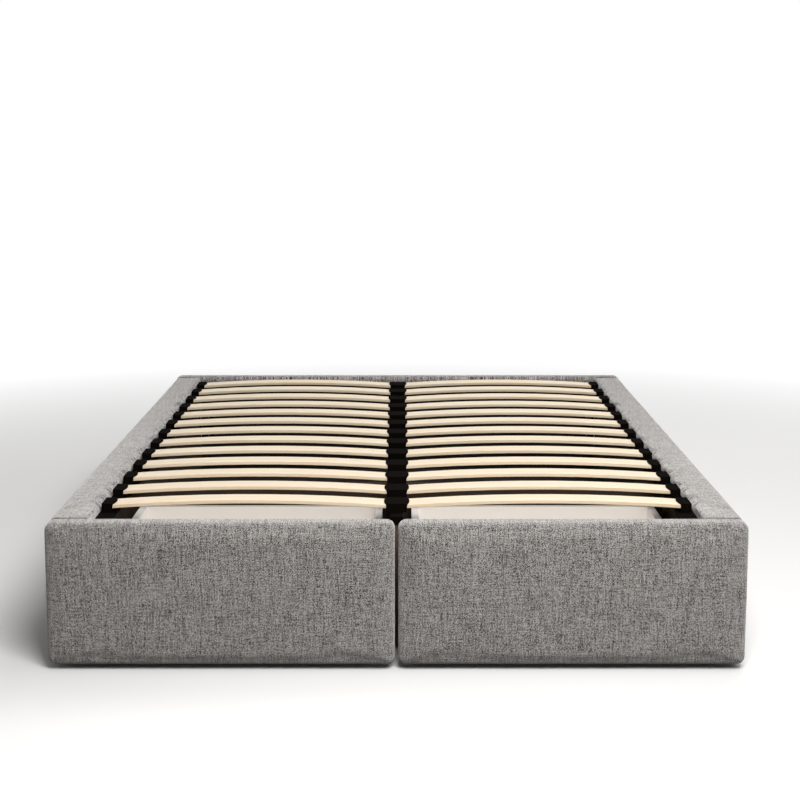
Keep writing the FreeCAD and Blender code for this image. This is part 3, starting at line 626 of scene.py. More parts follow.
@dataclass(frozen=True)
class LaminatedSlat(Finish):
    """Bent slats of birch veneers under satin lacquer, with each slat a little different."""

    pale: Colour
    deep: Colour
    glue: Colour
    first_row: float
    row_pitch: float
    bend_middle: float
    bend_height: float
    veneer: float = 0.0018
    glue_share: float = 0.12
    tint: float = 0.16

    def paint(self, board: NodeBoard, shader: bpy.types.Node) -> None:
        """Draws the grain, the veneers' edges and the tone of each slat."""
        place = board.places()
        x, y, z = board.split(place)
        reach = board.math("SUBTRACT", y, self.first_row)
        row = board.math("ROUND", board.math("DIVIDE", reach, self.row_pitch))
        draw = board.add("TexWhiteNoise", noise_dimensions="1D")
        side = board.math("SIGN", x)
        board.feed(draw.inputs["W"], board.math("ADD", row, board.math("MULTIPLY", side, 40.5)))
        own_place = board.vector("ADD", place, draw.outputs["Color"])
        grain = board.group(Effects.grain(), Place=own_place, Length=0.22, Width=0.0035)
        figure = board.blend(grain["Tone"], self.pale, self.deep)
        tint = board.math("MULTIPLY", draw.outputs["Value"], self.tint)
        wood = board.blend(tint, figure, self.deep)
        wood = board.blend(board.math("MULTIPLY", grain["Pores"], 0.25), wood, self.glue)
        reach = board.math("SUBTRACT", board.math("ABSOLUTE", x), self.bend_middle)
        rise = board.math("SUBTRACT", z, self.bend_height)
        radius = board.math("SQRT", board.math(
            "ADD", board.math("MULTIPLY", reach, reach), board.math("MULTIPLY", rise, rise)))
        layer = board.math("DIVIDE", radius, self.veneer)
        wave = board.math("ABSOLUTE", board.math("SINE", board.math("MULTIPLY", layer, math.pi)))
        line = board.span(wave, 0.3, 0.05)
        facing = board.math("ABSOLUTE", board.split(board.add("NewGeometry").outputs["Normal"])[1])
        edge = board.span(facing, 0.75, 0.95)
        glued = board.math("MULTIPLY", board.math("MULTIPLY", line, edge), self.glue_share)
        height = board.math("SUBTRACT", grain["Tone"], grain["Pores"])
        board.fill(
            shader,
            Base_Color=board.blend(glued, wood, self.glue),
            Roughness=board.span(grain["Tone"], 0.0, 1.0, 0.34, 0.46),
            Specular_IOR_Level=0.4,
            Normal=board.bump(height, 0.0002, 0.4),
        )


@dataclass(frozen=True)
class BareWood(Finish):
    """Bare timber or board, with grain along one axis of the bed."""

    pale: Colour
    deep: Colour
    runs: Axis
    length: float = 0.25
    width: float = 0.006
    roughness: float = 0.7

    def paint(self, board: NodeBoard, shader: bpy.types.Node) -> None:
        """Draws the grain, its pores and rubbed edges."""
        place = board.places()
        parts = board.split(place)
        turned = parts[self.runs.value:] + parts[:self.runs.value]
        grain = board.group(Effects.grain(), Place=board.join(*turned), Length=self.length, Width=self.width)
        edge = board.group(Effects.edge(), Place=place, Radius=0.0008)
        wood = board.blend(grain["Tone"], self.pale, self.deep)
        wood = board.blend(board.math("MULTIPLY", grain["Pores"], 0.5), wood, self.deep)
        board.fill(
            shader,
            Base_Color=board.blend(board.math("MULTIPLY", edge["Rub"], 0.4), wood, self.pale),
            Roughness=board.vary(grain["Tone"], self.roughness, 0.06, 0.06),
            Normal=board.bump(grain["Tone"], 0.0004, 0.4, edge["Normal"]),
        )


@dataclass(frozen=True)
class FacedBoard(Finish):
    """Board with a plain melamine face: faint cloudy tone, a pressed texture and rubbed edges."""

    face: Colour
    soiled: Colour
    rubbed: Colour
    roughness: float = 0.4
    gloss: float = 0.4

    def paint(self, board: NodeBoard, shader: bpy.types.Node) -> None:
        """Draws the face."""
        place = board.places()
        mottle = board.group(Effects.mottle(), Place=place, Size=0.0014)
        edge = board.group(Effects.edge(), Place=place, Radius=0.0012)
        face = board.blend(board.math("MULTIPLY", mottle["Cloud"], 0.35), self.face, self.soiled)
        face = board.blend(board.math("MULTIPLY", mottle["Speckle"], 0.12), face, self.soiled)
        board.fill(
            shader,
            Base_Color=board.blend(board.math("MULTIPLY", edge["Rub"], 0.5), face, self.rubbed),
            Roughness=board.vary(mottle["Cloud"], self.roughness, 0.05, 0.08),
            Specular_IOR_Level=self.gloss,
            Normal=board.bump(mottle["Height"], 0.0002, 0.25, edge["Normal"]),
        )


@dataclass(frozen=True)
class MouldedPlastic(Finish):
    """Moulded plastic with a fine spark-eroded texture, rubbed brighter at its edges."""

    body: Colour
    dusty: Colour
    roughness: float = 0.8
    gloss: float = 0.005
    texture: float = 0.0007

    def paint(self, board: NodeBoard, shader: bpy.types.Node) -> None:
        """Draws the plastic."""
        place = board.places()
        mottle = board.group(Effects.mottle(), Place=place, Size=self.texture)
        edge = board.group(Effects.edge(), Place=place, Radius=0.0008)
        tone = board.math("ADD", board.math("MULTIPLY", mottle["Cloud"], 0.5),
                          board.math("MULTIPLY", edge["Rub"], 0.4), clamp=True)
        worn = board.span(edge["Rub"], 0.0, 1.0, 0.0, 0.12)
        rough = board.vary(mottle["Cloud"], self.roughness, 0.04, 0.08)
        board.fill(
            shader,
            Base_Color=board.blend(tone, self.body, self.dusty),
            Roughness=board.math("SUBTRACT", rough, worn),
            Specular_IOR_Level=self.gloss,
            Normal=board.bump(mottle["Height"], 0.00015, 0.35, edge["Normal"]),
        )


@dataclass(frozen=True)
class PowderCoat(Finish):
    """Black powder coat on steel: orange peel, and bare metal where edges are rubbed through."""

    coat: Colour
    dusty: Colour
    steel: Colour
    roughness: float = 0.75
    gloss: float = 0.01

    def paint(self, board: NodeBoard, shader: bpy.types.Node) -> None:
        """Draws the coat and the rubbed edges."""
        place = board.places()
        mottle = board.group(Effects.mottle(), Place=place, Size=0.0018)
        edge = board.group(Effects.edge(), Place=place, Radius=0.0006)
        coat = board.blend(board.math("MULTIPLY", mottle["Cloud"], 0.6), self.coat, self.dusty)
        rub = board.math("MULTIPLY", edge["Rub"], 0.35)
        board.fill(
            shader,
            Base_Color=board.blend(rub, coat, self.steel),
            Metallic=rub,
            Roughness=board.vary(mottle["Cloud"], self.roughness, 0.05, 0.1),
            Specular_IOR_Level=self.gloss,
            Normal=board.bump(mottle["Height"], 0.0003, 0.3, edge["Normal"]),
        )


@dataclass(frozen=True)
class ZincPlate(Finish):
    """Bright zinc plate with a faint spangle and dull patches."""

    bright: Colour
    dull: Colour

    def paint(self, board: NodeBoard, shader: bpy.types.Node) -> None:
        """Draws the plate."""
        place = board.places()
        spangle = board.add("TexVoronoi", feature="F1")
        board.feed(spangle.inputs["Vector"], board.stretched(place, (0.004, 0.004, 0.004)))
        spangle.inputs["Scale"].default_value = 1.0
        mottle = board.group(Effects.mottle(), Place=place, Size=0.0009)
        cell = board.split(spangle.outputs["Color"])[0]
        tone = board.math("MULTIPLY", board.math("ADD", cell, mottle["Cloud"]), 0.5)
        board.fill(
            shader,
            Base_Color=board.blend(tone, self.bright, self.dull),
            Metallic=1.0,
            Roughness=board.span(tone, 0.0, 1.0, 0.28, 0.48),
            Normal=board.bump(mottle["Height"], 0.0001, 0.2),
        )


# Modelling


def only(piece: bpy.types.Object) -> None:
    """Selects one object and makes it active."""
    bpy.ops.object.select_all(action="DESELECT")
    piece.select_set(True)
    bpy.context.view_layer.objects.active = piece


def apply_modifier(piece: bpy.types.Object, modifier: bpy.types.Modifier) -> None:
    """Applies one modifier to its object."""
    only(piece)
    bpy.ops.object.modifier_apply(modifier=modifier.name)


def place_in_mesh(piece: bpy.types.Object) -> None:
    """Moves an object's place, turn and scale into its mesh."""
    only(piece)
    bpy.ops.object.transform_apply(location=True, rotation=True, scale=True)


def add_block(name: str, low: Vector, high: Vector) -> bpy.types.Object:
    """Adds a block at its size and place, with its place in its mesh.

    Args:
        name: The object's name.
        low: Its lowest corner.
        high: Its highest corner.

    Returns:
        The new object.
    """
    bpy.ops.object.select_all(action="DESELECT")
    bpy.ops.mesh.primitive_cube_add(size=1, location=(low + high) / 2)
    piece = bpy.context.active_object
    piece.name = piece.data.name = name
    piece.scale = high - low
    place_in_mesh(piece)
    return piece


def select_edges(piece: bpy.types.Object, wanted: Callable[[Vector, Vector], bool]) -> None:
    """Selects edges in edit mode by the places of their two ends.

    Args:
        piece: The object in edit mode.
        wanted: Says for two ends whether the edge is taken.
    """
    bpy.ops.mesh.select_mode(type="EDGE")
    bpy.ops.mesh.select_all(action="DESELECT")
    shape = bmesh.from_edit_mesh(piece.data)
    for edge in shape.edges:
        edge.select_set(wanted(edge.verts[0].co, edge.verts[1].co))
    bmesh.update_edit_mesh(piece.data)


def round_edges(piece: bpy.types.Object, radius: float, segments: int, faces: tuple[Face, ...]) -> None:
    """Rounds those of a block's edges that lie on every one of some faces, or all of its edges.

    Args:
        piece: The block, in edit mode.
        radius: The radius of its edges.
        segments: How many facets each edge gets.
        faces: The faces that the edges lie on; none of them means every edge.
    """
    ends = np.array([vertex.co for vertex in bmesh.from_edit_mesh(piece.data).verts])
    low, high = ends.min(0), ends.max(0)

    def wanted(first: Vector, second: Vector) -> bool:
        """Whether both ends of an edge lie on every one of the faces."""
        levels = [(face.axis, face.level(low, high)) for face in faces]
        return all(abs(end[axis] - level) < SAME_PLACE for axis, level in levels for end in (first, second))

    select_edges(piece, wanted)
    bpy.ops.mesh.bevel(offset=radius, segments=segments, profile=0.5, affect="EDGES")


def cut_grid(piece: bpy.types.Object, spacing: float) -> None:
    """Divides a rounded block's long straight edges, so that its faces become a grid.

    Args:
        piece: The block, in edit mode.
        spacing: The size of the grid.
    """
    for axis in Axis:
        others = [other.value for other in Axis if other is not axis]

        def wanted(first: Vector, second: Vector) -> bool:
            """Whether an edge is straight along the axis and longer than the grid."""
            step = second - first
            straight = all(abs(step[other]) < SAME_PLACE for other in others)
            return straight and abs(step[axis.value]) > spacing * LONG_EDGE_SHARE

        shape = bmesh.from_edit_mesh(piece.data)
        runs = [edge.calc_length() for edge in shape.edges if wanted(edge.verts[0].co, edge.verts[1].co)]
        if not runs:
            continue
        parts = max(2, round(max(runs) / spacing))
        first_parts = math.ceil(parts / MOST_CUTS)
        for share in (first_parts, round(parts / first_parts)):
            if share > 1:
                select_edges(piece, wanted)
                bpy.ops.mesh.subdivide(number_cuts=share - 1)


def coordinates(mesh: bpy.types.Mesh) -> np.ndarray:
    """A mesh's points as rows of three numbers."""
    flat = np.empty(len(mesh.vertices) * 3)
    mesh.vertices.foreach_get("co", flat)
    return flat.reshape(-1, 3)


def set_coordinates(mesh: bpy.types.Mesh, places: np.ndarray) -> None:
    """Moves a mesh's points to these places."""
    mesh.vertices.foreach_set("co", places.astype(np.float32).ravel())
    mesh.update()


def eased(share: np.ndarray) -> np.ndarray:
    """Shares from 0 to 1 that start and stop softly."""
    share = np.clip(share, 0.0, 1.0)
    return share * share * (3.0 - 2.0 * share)


def finish_shape(piece: bpy.types.Object, levels: int = 1) -> None:
    """Adds smooth subdivision to an object and applies it."""
    modifier = piece.modifiers.new("smooth", "SUBSURF")
    modifier.levels = modifier.render_levels = levels
    apply_modifier(piece, modifier)


def cut_away(piece: bpy.types.Object, tool: bpy.types.Object) -> None:
    """Cuts one object's shape out of another and deletes the tool.

    Args:
        piece: What is cut.
        tool: What cuts it.
    """
    modifier = piece.modifiers.new("room", "BOOLEAN")
    modifier.operation = "DIFFERENCE"
    modifier.solver = "EXACT"
    modifier.object = tool
    apply_modifier(piece, modifier)
    bpy.data.objects.remove(tool)


def ruffle(
    piece: bpy.types.Object, name: str, size: float, strength: float, mid_level: float,
    direction: str = "NORMAL", group: str = "",
) -> None:
    """Makes a surface softly uneven.

    Args:
        piece: The object.
        name: The name of the clouds that move it, which its like share.
        size: How large those clouds are.
        strength: How far they move it.
        mid_level: The tone of cloud that leaves it where it is.
        direction: Which way it is moved.
        group: The points that move, where not all do.
    """
    texture = bpy.data.textures.get(name) or bpy.data.textures.new(name, "CLOUDS")
    texture.noise_scale = size
    texture.noise_depth = 2
    modifier = piece.modifiers.new(name, "DISPLACE")
    modifier.texture = texture
    modifier.texture_coords = "LOCAL"
    modifier.direction = direction
    modifier.strength = strength
    modifier.mid_level = mid_level
    modifier.vertex_group = group
    apply_modifier(piece, modifier)


# Upholstery


@dataclass(frozen=True)
class Rounding:
    """A radius and the faces that the rounded edges lie on, where none means every edge."""

    radius: float
    faces: tuple[Face, ...] = ()
    segments: int = 4


@dataclass(frozen=True)
class HolderDents:
    """Where a row of slat holders presses into the inner edge of a rail's cover."""

    inner: Face
    rows: tuple[float, ...]
    board_top: float
    half_length: float = 0.030
    fade: float = 0.026
    width: float = 0.034
    rise: float = 0.014
    depth: float = 0.008
    bulge: float = 0.003
    sink_share: float = 0.25

    def pressed(self, points: np.ndarray) -> np.ndarray:
        """Presses the cloth in at the holders and lets it bulge between them.

        Args:
            points: The cover's points.

        Returns:
            The points after the press.
        """
        across, along, up = (axis.value for axis in Axis)
        edge = (points[:, across] * self.inner.way).max() * self.inner.way
        runs = points[:, along]
        away = np.abs(runs[:, None] - np.array(self.rows)).min(1)
        press = 1.0 - eased((away - self.half_length) / self.fade)
        to_end = np.minimum(runs - runs.min(), runs.max() - runs)
        inside = eased(to_end / self.half_length - 1.0)
        near = eased(1.0 - np.abs(points[:, across] - edge) / self.width)
        above = eased((points[:, up] - self.board_top) / self.rise)
        shift = (press * (self.depth + self.bulge) - self.bulge) * near * above * inside
        moved = points.copy()
        moved[:, across] -= self.inner.way * shift
        moved[:, up] -= np.maximum(shift, 0.0) * self.sink_share
        return moved


@dataclass
class PaddedCover:
    """A cover of cloth over foam, swollen by simulation over the boards inside it."""

    node: str
    body: str
    runs: Axis
    outer: Face
    held: tuple[Face, ...]
    pulls: dict[Face, float]
    rooms: list[tuple[Vector, Vector]]
    roundings: tuple[Rounding, ...] = (Rounding(0.020),)
    grid: float = 0.009
    most_swell: float = 0.0045
    pressure: float = 4.0
    frames: int = 20
    uneven: float = 0.0010
    foam_size: float = 0.16
    fill: float = 0.85
    dents: HolderDents | None = None

    def build(self, finish: Finish) -> bpy.types.Object:
        """Builds the cover and dresses it.

        Args:
            finish: The cloth that it is made of.

        Returns:
            The finished piece.
        """
        piece = self._block()
        self._mark(piece)
        self._swell(piece)
        ruffle(piece, "uneven foam", self.foam_size, self.uneven, mid_level=0.5, group=FREE_GROUP)
        if self.dents is not None:
            set_coordinates(piece.data, self.dents.pressed(coordinates(piece.data)))
        finish_shape(piece)
        for low, high in self.rooms:
            cut_away(piece, add_block("room", low, high))
        self._map_cloth(piece)
        only(piece)
        bpy.ops.object.shade_smooth_by_angle(angle=COVER_CREASE)
        piece.data.materials.clear()
        piece.data.materials.append(finish.material())
        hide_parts(self.node)
        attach(piece, self.body)
        LOG.info("%s: %d faces", piece.name, len(piece.data.polygons))
        return piece

    def _box(self) -> tuple[Vector, Vector]:
        """The box that the cloth is cut to, before the foam swells it."""
        low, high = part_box(self.node)
        for face, pull in self.pulls.items():
            if face.way > 0:
                high[face.axis] -= pull
            else:
                low[face.axis] += pull
        return low, high

    def _block(self) -> bpy.types.Object:
        """The rounded block with an even grid of faces."""
        piece = add_block(self.node.replace("_cover", "_upholstery"), *self._box())
        only(piece)
        bpy.ops.object.mode_set(mode="EDIT")
        for rounding in self.roundings:
            round_edges(piece, rounding.radius, rounding.segments, rounding.faces)
        cut_grid(piece, self.grid)
        bpy.ops.mesh.select_all(action="SELECT")
        bpy.ops.mesh.normals_make_consistent(inside=False)
        bpy.ops.object.mode_set(mode="OBJECT")
        return piece

    def _mark(self, piece: bpy.types.Object) -> None:
        """Marks the points that are stapled down and those that are free to swell."""
        places = coordinates(piece.data)
        low, high = places.min(0), places.max(0)
        held = np.zeros(len(places), bool)
        for face in self.held:
            held |= np.abs(places[:, face.axis] - face.level(low, high)) < SAME_PLACE
        for name, chosen in ((HELD_GROUP, held), (FREE_GROUP, ~held)):
            group = piece.vertex_groups.new(name=name)
            group.add(np.flatnonzero(chosen).tolist(), 1.0, "REPLACE")

    def _swell(self, piece: bpy.types.Object) -> None:
        """Lets the foam press the cloth out, never into the board, and limits how far a point moves."""
        before = coordinates(piece.data)
        outward = np.array([vertex.normal for vertex in piece.data.vertices])
        cloth = piece.modifiers.new("swell", "CLOTH")
        settings = cloth.settings
        settings.quality = 6
        settings.mass = 0.3
        settings.tension_stiffness = settings.compression_stiffness = 18.0
        settings.shear_stiffness = 8.0
        settings.bending_stiffness = 1.5
        settings.use_pressure = True
        settings.uniform_pressure_force = self.pressure
        settings.vertex_group_mass = HELD_GROUP
        settings.effector_weights.gravity = 0.0
        cloth.collision_settings.use_collision = False
        cloth.point_cache.frame_start = 1
        cloth.point_cache.frame_end = self.frames
        for step in range(1, self.frames + 1):
            bpy.context.scene.frame_set(step)
        apply_modifier(piece, cloth)
        bpy.context.scene.frame_set(1)
        lift = ((coordinates(piece.data) - before) * outward).sum(1, keepdims=True)
        LOG.info("%s: swells by up to %.1f mm", piece.name, lift.max() * 1000)
        lift = self.most_swell * np.tanh(np.maximum(lift, 0.0) / self.most_swell)
        set_coordinates(piece.data, before + outward * lift)

    def _map_cloth(self, piece: bpy.types.Object) -> None:
        """Maps the cloth's own two directions, in metres, so that the weave runs over the edges."""
        mesh = piece.data
        places = coordinates(mesh)
        low, high = places.min(0), places.max(0)
        middle = (low + high) / 2
        run = self.runs.value
        deep = self.outer.axis
        corners = np.empty(len(mesh.loops), np.int32)
        mesh.loops.foreach_get("vertex_index", corners)
        owner = np.repeat(np.arange(len(mesh.polygons)), [len(face.vertices) for face in mesh.polygons])
        normals = np.array([face.normal for face in mesh.polygons])
        centres = np.array([face.center for face in mesh.polygons])
        up = Axis.UP.value
        to_end = (high[run] - low[run]) / 2 - np.abs(centres[:, run] - middle[run])
        to_top = (high[up] - low[up]) / 2 - np.abs(centres[:, up] - middle[up])
        steep = np.abs(normals)
        over_end = np.where(
            steep[:, deep] >= np.maximum(steep[:, run], steep[:, up]),
            to_end < to_top,
            steep[:, run] > steep[:, up],
        )
        points = places[corners]
        depth = np.abs(points[:, deep] - self.outer.level(low, high))
        ends = over_end[owner]
        u = points[:, run] + np.where(ends, np.sign(points[:, run] - middle[run]) * depth, 0.0)
        v = points[:, up] + np.where(ends, 0.0, np.sign(points[:, up] - middle[up]) * depth)
        layer = mesh.uv_layers.new(name=CLOTH_MAP)
        layer.data.foreach_set("uv", np.column_stack([u, v]).astype(np.float32).ravel())


@dataclass
class Upholstery:
    """The five padded covers: two drawer fronts, two side rails and the head panel."""

    ease: float = 0.0006
    crown: float = 0.004
    top_crown: float = 0.003
    front_crown: float = 0.008
    front_swell: float = 0.009
    gap_bulge: float = 0.0008
    corner_radius: float = 0.018
    front_radius: float = 0.0175
    back_radius: float = 0.006
    rail_outer_radius: float = 0.014
    rail_inner_radius: float = 0.008
    rail_end_radius: float = 0.006
    cloth: Finish = field(default_factory=lambda: HeatherCloth(
        "heathered grey cloth", dark=shade(12, 11, 10), light=shade(172, 167, 162),
        sheen_dark=shade(172, 168, 164), sheen_light=shade(255, 253, 250)))

    def build(self) -> None:
        """Builds every cover."""
        for side in Side:
            self.front(side).build(self.cloth)
            self.rail(side).build(self.cloth)
        self.head().build(self.cloth)

    def front(self, side: Side) -> PaddedCover:
        """The cover of one drawer front, with room for its board."""
        node = f"{side.word}_drawer_front_cover"
        inner, outer = side.faces
        low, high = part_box(f"{side.word}_drawer_front_board")
        corners = [Rounding(self.corner_radius, (end, edge))
                   for end in (inner, outer) for edge in (Face.TOP, Face.BOTTOM)]
        return PaddedCover(
            node, f"{side.word}_drawer", runs=Axis.ACROSS, outer=Face.FOOT, held=(Face.HEAD,),
            pulls={
                Face.FOOT: self.front_crown, Face.TOP: self.top_crown, Face.BOTTOM: self.ease,
                inner: -self.gap_bulge, outer: self.ease,
            },
            rooms=[(low, high + Vector((0.0, CUT_REACH, 0.0)))], grid=0.008, most_swell=self.front_swell,
            roundings=(
                *corners,
                Rounding(self.front_radius, (Face.FOOT,), segments=5),
                Rounding(self.back_radius, (Face.HEAD,), segments=2),
            ),
        )

    def rail(self, side: Side) -> PaddedCover:
        """The cover of one side rail, with room for its boards and open under its inner flap."""
        node = f"{side.word}_rail_cover"
        inner, outer = side.faces
        low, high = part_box(node)
        inner_low, inner_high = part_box(f"{side.word}_rail_inner_board")
        outer_low, outer_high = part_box(f"{side.word}_rail_outer_board")
        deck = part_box(f"{side.word}_slat_ledger")[1].z
        beam_low = Vector((min(inner_low.x, outer_low.x), inner_low.y, low.z - CUT_REACH))
        beam_high = Vector((max(inner_high.x, outer_high.x), high.y + CUT_REACH, inner_high.z))
        middle = (inner_low.x + inner_high.x) / 2
        flap = low.x if side is Side.RIGHT else high.x
        beyond = flap + inner.way * CUT_REACH
        under_low = Vector((min(middle, beyond), inner_low.y + self.ease, low.z - CUT_REACH))
        under_high = Vector((max(middle, beyond), high.y + CUT_REACH, deck))
        return PaddedCover(
            node, "frame", runs=Axis.ALONG, outer=outer, held=(inner, Face.BOTTOM, Face.HEAD, Face.FOOT),
            pulls={outer: self.crown, Face.TOP: self.crown / 2, Face.FOOT: self.ease},
            rooms=[(beam_low, beam_high), (under_low, under_high)], grid=0.011,
            roundings=(
                Rounding(self.rail_outer_radius, (outer, Face.TOP)),
                Rounding(self.rail_outer_radius, (outer, Face.BOTTOM)),
                Rounding(self.rail_inner_radius, (inner, Face.TOP), segments=3),
                Rounding(self.rail_end_radius, (Face.FOOT,), segments=2),
            ),
            dents=HolderDents(inner, tuple(Deck().row_places()), inner_high.z),
        )

    def head(self) -> PaddedCover:
        """The cover of the head panel, with room for its board, which shows at the bottom."""
        low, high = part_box("head_board")
        return PaddedCover(
            "head_cover", "frame", runs=Axis.ACROSS, outer=Face.HEAD, held=(Face.FOOT, Face.BOTTOM),
            pulls={
                Face.HEAD: self.crown, Face.TOP: self.ease, Face.LEFT: self.ease, Face.RIGHT: self.ease,
            },
            rooms=[(low - Vector((0.0, 0.0, CUT_REACH)), high)], grid=0.010,
        )


# Lining


@dataclass
class LiningSheet:
    """A sheet of black lining cloth, stretched and stapled."""

    node: str
    across: Axis
    down: Axis
    rests_on: list[str]
    holes: list[tuple[float, float]] = field(default_factory=list)
    hole_radius: float = 0.017
    grid: float = 0.02
    slack: float = 0.0012
    slack_size: float = 0.22
    thickness: float = 0.0006

    def build(self, finish: Finish) -> bpy.types.Object:
        """Builds the sheet and dresses it.

        Args:
            finish: The lining cloth.

        Returns:
            The finished piece.
        """
        low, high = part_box(self.node)
        size = high - low
        width, length = size[self.across.value], size[self.down.value]
        upright = self.down is Axis.UP
        bpy.ops.object.select_all(action="DESELECT")
        bpy.ops.mesh.primitive_grid_add(
            x_subdivisions=round(width / self.grid), y_subdivisions=round(length / self.grid), size=1,
            location=(low + high) / 2, rotation=(math.pi / 2 if upright else 0.0, 0.0, 0.0),
        )
        piece = bpy.context.active_object
        piece.name = piece.data.name = self.node + "_cloth"
        piece.scale = (width, length, 1.0)
        place_in_mesh(piece)
        ruffle(
            piece, "slack lining", self.slack_size, -self.slack, mid_level=0.25,
            direction="Y" if upright else "Z",
        )
        wall = piece.modifiers.new("thickness", "SOLIDIFY")
        wall.thickness = self.thickness
        wall.offset = 0.0
        apply_modifier(piece, wall)
        for x, y in self.holes:
            self._punch(piece, x, y, (low.z + high.z) / 2)
        only(piece)
        bpy.ops.object.shade_smooth_by_angle(angle=SHEET_CREASE)
        piece.data.materials.append(finish.material())
        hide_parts(self.node)
        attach(piece, "frame")
        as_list(self.rests_on)
        LOG.info("%s: %.3f by %.3f m", piece.name, width, length)
        return piece

    def _punch(self, piece: bpy.types.Object, x: float, y: float, z: float) -> None:
        """Punches the hole that a leg passes through."""
        bpy.ops.object.select_all(action="DESELECT")
        bpy.ops.mesh.primitive_cylinder_add(
            vertices=40, radius=self.hole_radius, depth=3 * CUT_REACH, location=(x, y, z)
        )
        tool = bpy.context.active_object
        place_in_mesh(tool)
        cut_away(piece, tool)


@dataclass
class Lining:
    """The lining on the head panel's inner face and the one under the frame."""

    cloth: Finish = field(default_factory=lambda: LiningCloth(
        "black lining cloth", dark=shade(14, 12, 11), light=shade(46, 42, 39)))

    def build(self) -> None:
        """Builds both sheets."""
        LiningSheet("head_lining", Axis.ACROSS, Axis.UP, ["head_upholstery"]).build(self.cloth)
        low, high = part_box("centre_leg_feet")
        depth = high.x - low.x
        legs = [(0.0, low.y + depth / 2), (0.0, high.y - depth / 2)]
        boards = [f"{side.word}_rail_inner_board" for side in Side]
        LiningSheet("base_lining", Axis.ACROSS, Axis.ALONG, boards, holes=legs).build(self.cloth)


# Dressing of the CAD nodes


@dataclass
class Deck:
    """The bent slats, their holders, the ledgers and the centre rail."""

    rows: int = 13
    slat_width: float = 0.060
    crown: float = 0.013

    def row_places(self) -> list[float]:
        """The slats' middles along the bed, from the foot."""
        low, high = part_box("right_slats")
        half = self.slat_width / 2
        return np.linspace(low.y + half, high.y - half, self.rows).tolist()

    def slat_finish(self) -> Finish:
        """The slats' finish, fitted to the rows and the bend of the CAD slats."""
        low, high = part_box("right_slats")
        half_span = (high.x - low.x) / 2
        radius = (half_span ** 2 + self.crown ** 2) / (2 * self.crown)
        first, second = self.row_places()[:2]
        return LaminatedSlat(
            "birch slats", pale=shade(231, 217, 193), deep=shade(222, 199, 167), glue=shade(160, 116, 74),
            first_row=first, row_pitch=second - first, bend_middle=(low.x + high.x) / 2,
            bend_height=low.z + self.crown - radius,
        )


@dataclass
class Dresser:
    """Gives every CAD node that stays in view its finish."""

    finishes: dict[str, Finish]

    def dress(self) -> None:
        """Dresses the nodes by their material slots."""
        slots = {part["node"]: part["material_slot"] for part in frame["record"]["subparts"]}
        for name, node in frame["nodes"].items():
            if node.hide_render:
                continue
            finish = self.finishes[slots[name]]
            material = finish.material()
            if not node.material_slots:
                node.data.materials.append(material)
            for slot in node.material_slots:
                slot.material = material
            LOG.info("%s: %s", name, finish.name)


def board_finishes() -> dict[str, Finish]:
    """The finishes of the hard parts, by their material slots."""
    return {
        "birch": Deck().slat_finish(),
        "white_board": FacedBoard(
            "warm white board", face=shade(247, 244, 240), soiled=shade(241, 236, 230),
            rubbed=shade(250, 248, 245)),
        "raw_board": BareWood(
            "bare softwood", pale=shade(205, 172, 128), deep=shade(160, 120, 78), runs=Axis.ACROSS),
        # Plywood is darkened far below bare plywood's own colour. This is painted shade for the narrow gap
        # between the drawer fronts, where the divider stands in shade.
        "plywood": BareWood(
            "bare plywood", pale=shade(76, 56, 46), deep=shade(52, 37, 33), runs=Axis.ALONG, width=0.012),
        "dark_board": FacedBoard(
            "dark faced board", face=shade(70, 61, 54), soiled=shade(54, 46, 40), rubbed=shade(96, 80, 66),
            roughness=0.75, gloss=0.03),
        "black_steel": PowderCoat(
            "black powder coat", coat=shade(8, 7, 6), dusty=shade(17, 14, 13), steel=shade(92, 88, 82)),
        "zinc": ZincPlate("bright zinc", bright=shade(206, 207, 205), dull=shade(160, 161, 160)),
        "black_plastic": MouldedPlastic("black plastic", body=shade(10, 8, 7), dusty=shade(20, 16, 13)),
        "wheel_plastic": MouldedPlastic(
            "grey wheel plastic", body=shade(48, 48, 48), dusty=shade(92, 90, 87), texture=0.001),
    }


# Studio


@dataclass(frozen=True)
class Lamp:
    """A soft box that hangs in the studio and faces the bed."""

    name: str
    place: Point
    aim: Point
    size: float
    power: float

    def hang(self) -> None:
        """Adds the lamp."""
        light = bpy.data.lights.new(self.name, "AREA")
        light.shape = "SQUARE"
        light.size = self.size
        light.energy = self.power
        lamp = bpy.data.objects.new(self.name, light)
        bpy.context.scene.collection.objects.link(lamp)
        lamp.location = self.place
        lamp.rotation_euler = (Vector(self.aim) - Vector(self.place)).to_track_quat("-Z", "Y").to_euler()


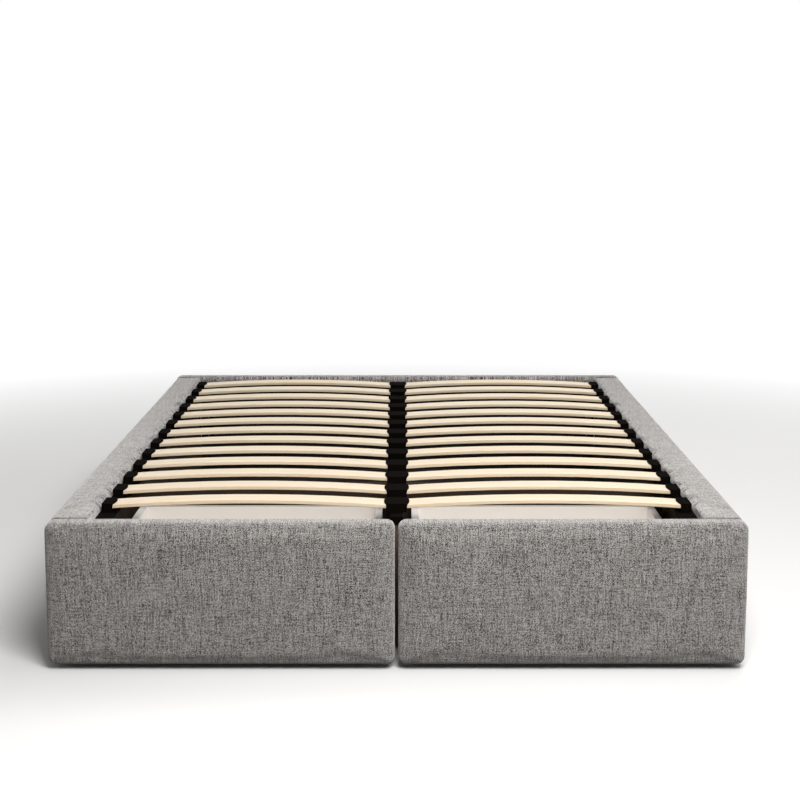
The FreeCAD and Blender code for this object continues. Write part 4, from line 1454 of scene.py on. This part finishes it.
@dataclass
class Studio:
    """A pale floor that fades into a white room, soft boxes and the camera."""

    picture: float = 800.0
    focal: float = 1502.2
    principal_row: float = 341.4
    pitch: float = math.radians(7.937)
    camera_place: Point = (0.0080, -4.3419, 1.2228)
    floor_radius: float = 9.0
    fade_from: float = 1.3
    fade_to: float = 3.6
    floor_colour: Colour = shade(238, 237, 235)
    floor_bounce: Colour = shade(110, 109, 108)
    room_light: float = 0.2
    lamps: tuple[Lamp, ...] = (
        Lamp("front box", (0.55, -2.8, 2.3), (0.0, -0.9, 0.2), 1.4, 96.0),
        Lamp("head box", (0.9, 1.0, 3.0), (0.0, 0.6, 0.3), 2.0, 50.0),
        Lamp("right box", (4.0, -1.0, 5.5), (0.0, 0.0, 0.3), 3.0, 45.0),
    )

    def build(self) -> None:
        """Builds the room, the lamps and the camera."""
        self._floor()
        self._room()
        for lamp in self.lamps:
            lamp.hang()
        self._camera()
        bpy.context.scene.view_settings.view_transform = "Standard"

    def _seen(self, board: NodeBoard) -> bpy.types.NodeSocket:
        """Whether a ray comes from the camera, from gloss or through glass."""
        path = board.add("LightPath").outputs
        seen = board.math("MAXIMUM", path["Is Camera Ray"], path["Is Glossy Ray"])
        return board.math("MAXIMUM", seen, path["Is Transmission Ray"])

    def _floor(self) -> None:
        """Adds the round floor, which fades into the room at its rim."""
        bpy.ops.object.select_all(action="DESELECT")
        bpy.ops.mesh.primitive_circle_add(vertices=96, radius=self.floor_radius, fill_type="NGON")
        floor = bpy.context.active_object
        floor.name = "studio_floor"
        material = bpy.data.materials.new("studio floor")
        material.use_nodes = True
        board = NodeBoard(material.node_tree)
        shader = material.node_tree.nodes["Principled BSDF"]
        seen = self._seen(board)
        board.fill(
            shader,
            Base_Color=board.blend(seen, self.floor_bounce, self.floor_colour),
            Roughness=0.8,
            Specular_IOR_Level=0.1,
        )
        glow = board.add("Emission")
        board.fill(glow, Strength=board.span(seen, 0.0, 1.0, self.room_light, 1.0))
        x, y, _ = board.split(board.places())
        square = board.math("ADD", board.math("MULTIPLY", x, x), board.math("MULTIPLY", y, y))
        share = board.span(board.math("SQRT", square), self.fade_from, self.fade_to)
        mix = board.add("MixShader")
        board.feed(mix.inputs[0], share)
        board.feed(mix.inputs[1], shader.outputs[0])
        board.feed(mix.inputs[2], glow.outputs[0])
        board.feed(material.node_tree.nodes["Material Output"].inputs["Surface"], mix.outputs[0])
        floor.data.materials.append(material)
        floor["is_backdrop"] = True

    def _room(self) -> None:
        """Makes the room white to the eye and softly lit."""
        world = bpy.data.worlds.new("white room")
        world.use_nodes = True
        bpy.context.scene.world = world
        board = NodeBoard(world.node_tree)
        sky = world.node_tree.nodes["Background"]
        sky.inputs["Color"].default_value = (1.0, 1.0, 1.0, 1.0)
        board.feed(sky.inputs["Strength"], board.span(self._seen(board), 0.0, 1.0, self.room_light, 1.0))

    def _camera(self) -> None:
        """Sets the camera at the photograph's angle."""
        data = bpy.data.cameras.new("camera")
        camera = bpy.data.objects.new("camera", data)
        bpy.context.scene.collection.objects.link(camera)
        data.sensor_width = 36.0
        data.lens = self.focal / self.picture * data.sensor_width
        data.shift_y = (self.principal_row - self.picture / 2) / self.picture
        camera.location = self.camera_place
        camera.rotation_euler = (math.pi / 2 - self.pitch, 0.0, 0.0)
        bpy.context.scene.camera = camera


def main() -> None:
    """Builds the soft pieces, dresses the hard ones and sets up the studio."""
    logging.basicConfig(level=logging.INFO, format="%(name)s: %(message)s")
    Upholstery().build()
    Lining().build()
    Dresser(board_finishes()).dress()
    Studio().build()
    boxes = {"cad": CAD_BOX, "visual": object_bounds()}
    {name: [list(corner) for corner in box] for name, box in boxes.items()}


if __name__ == "__main__":
    main()
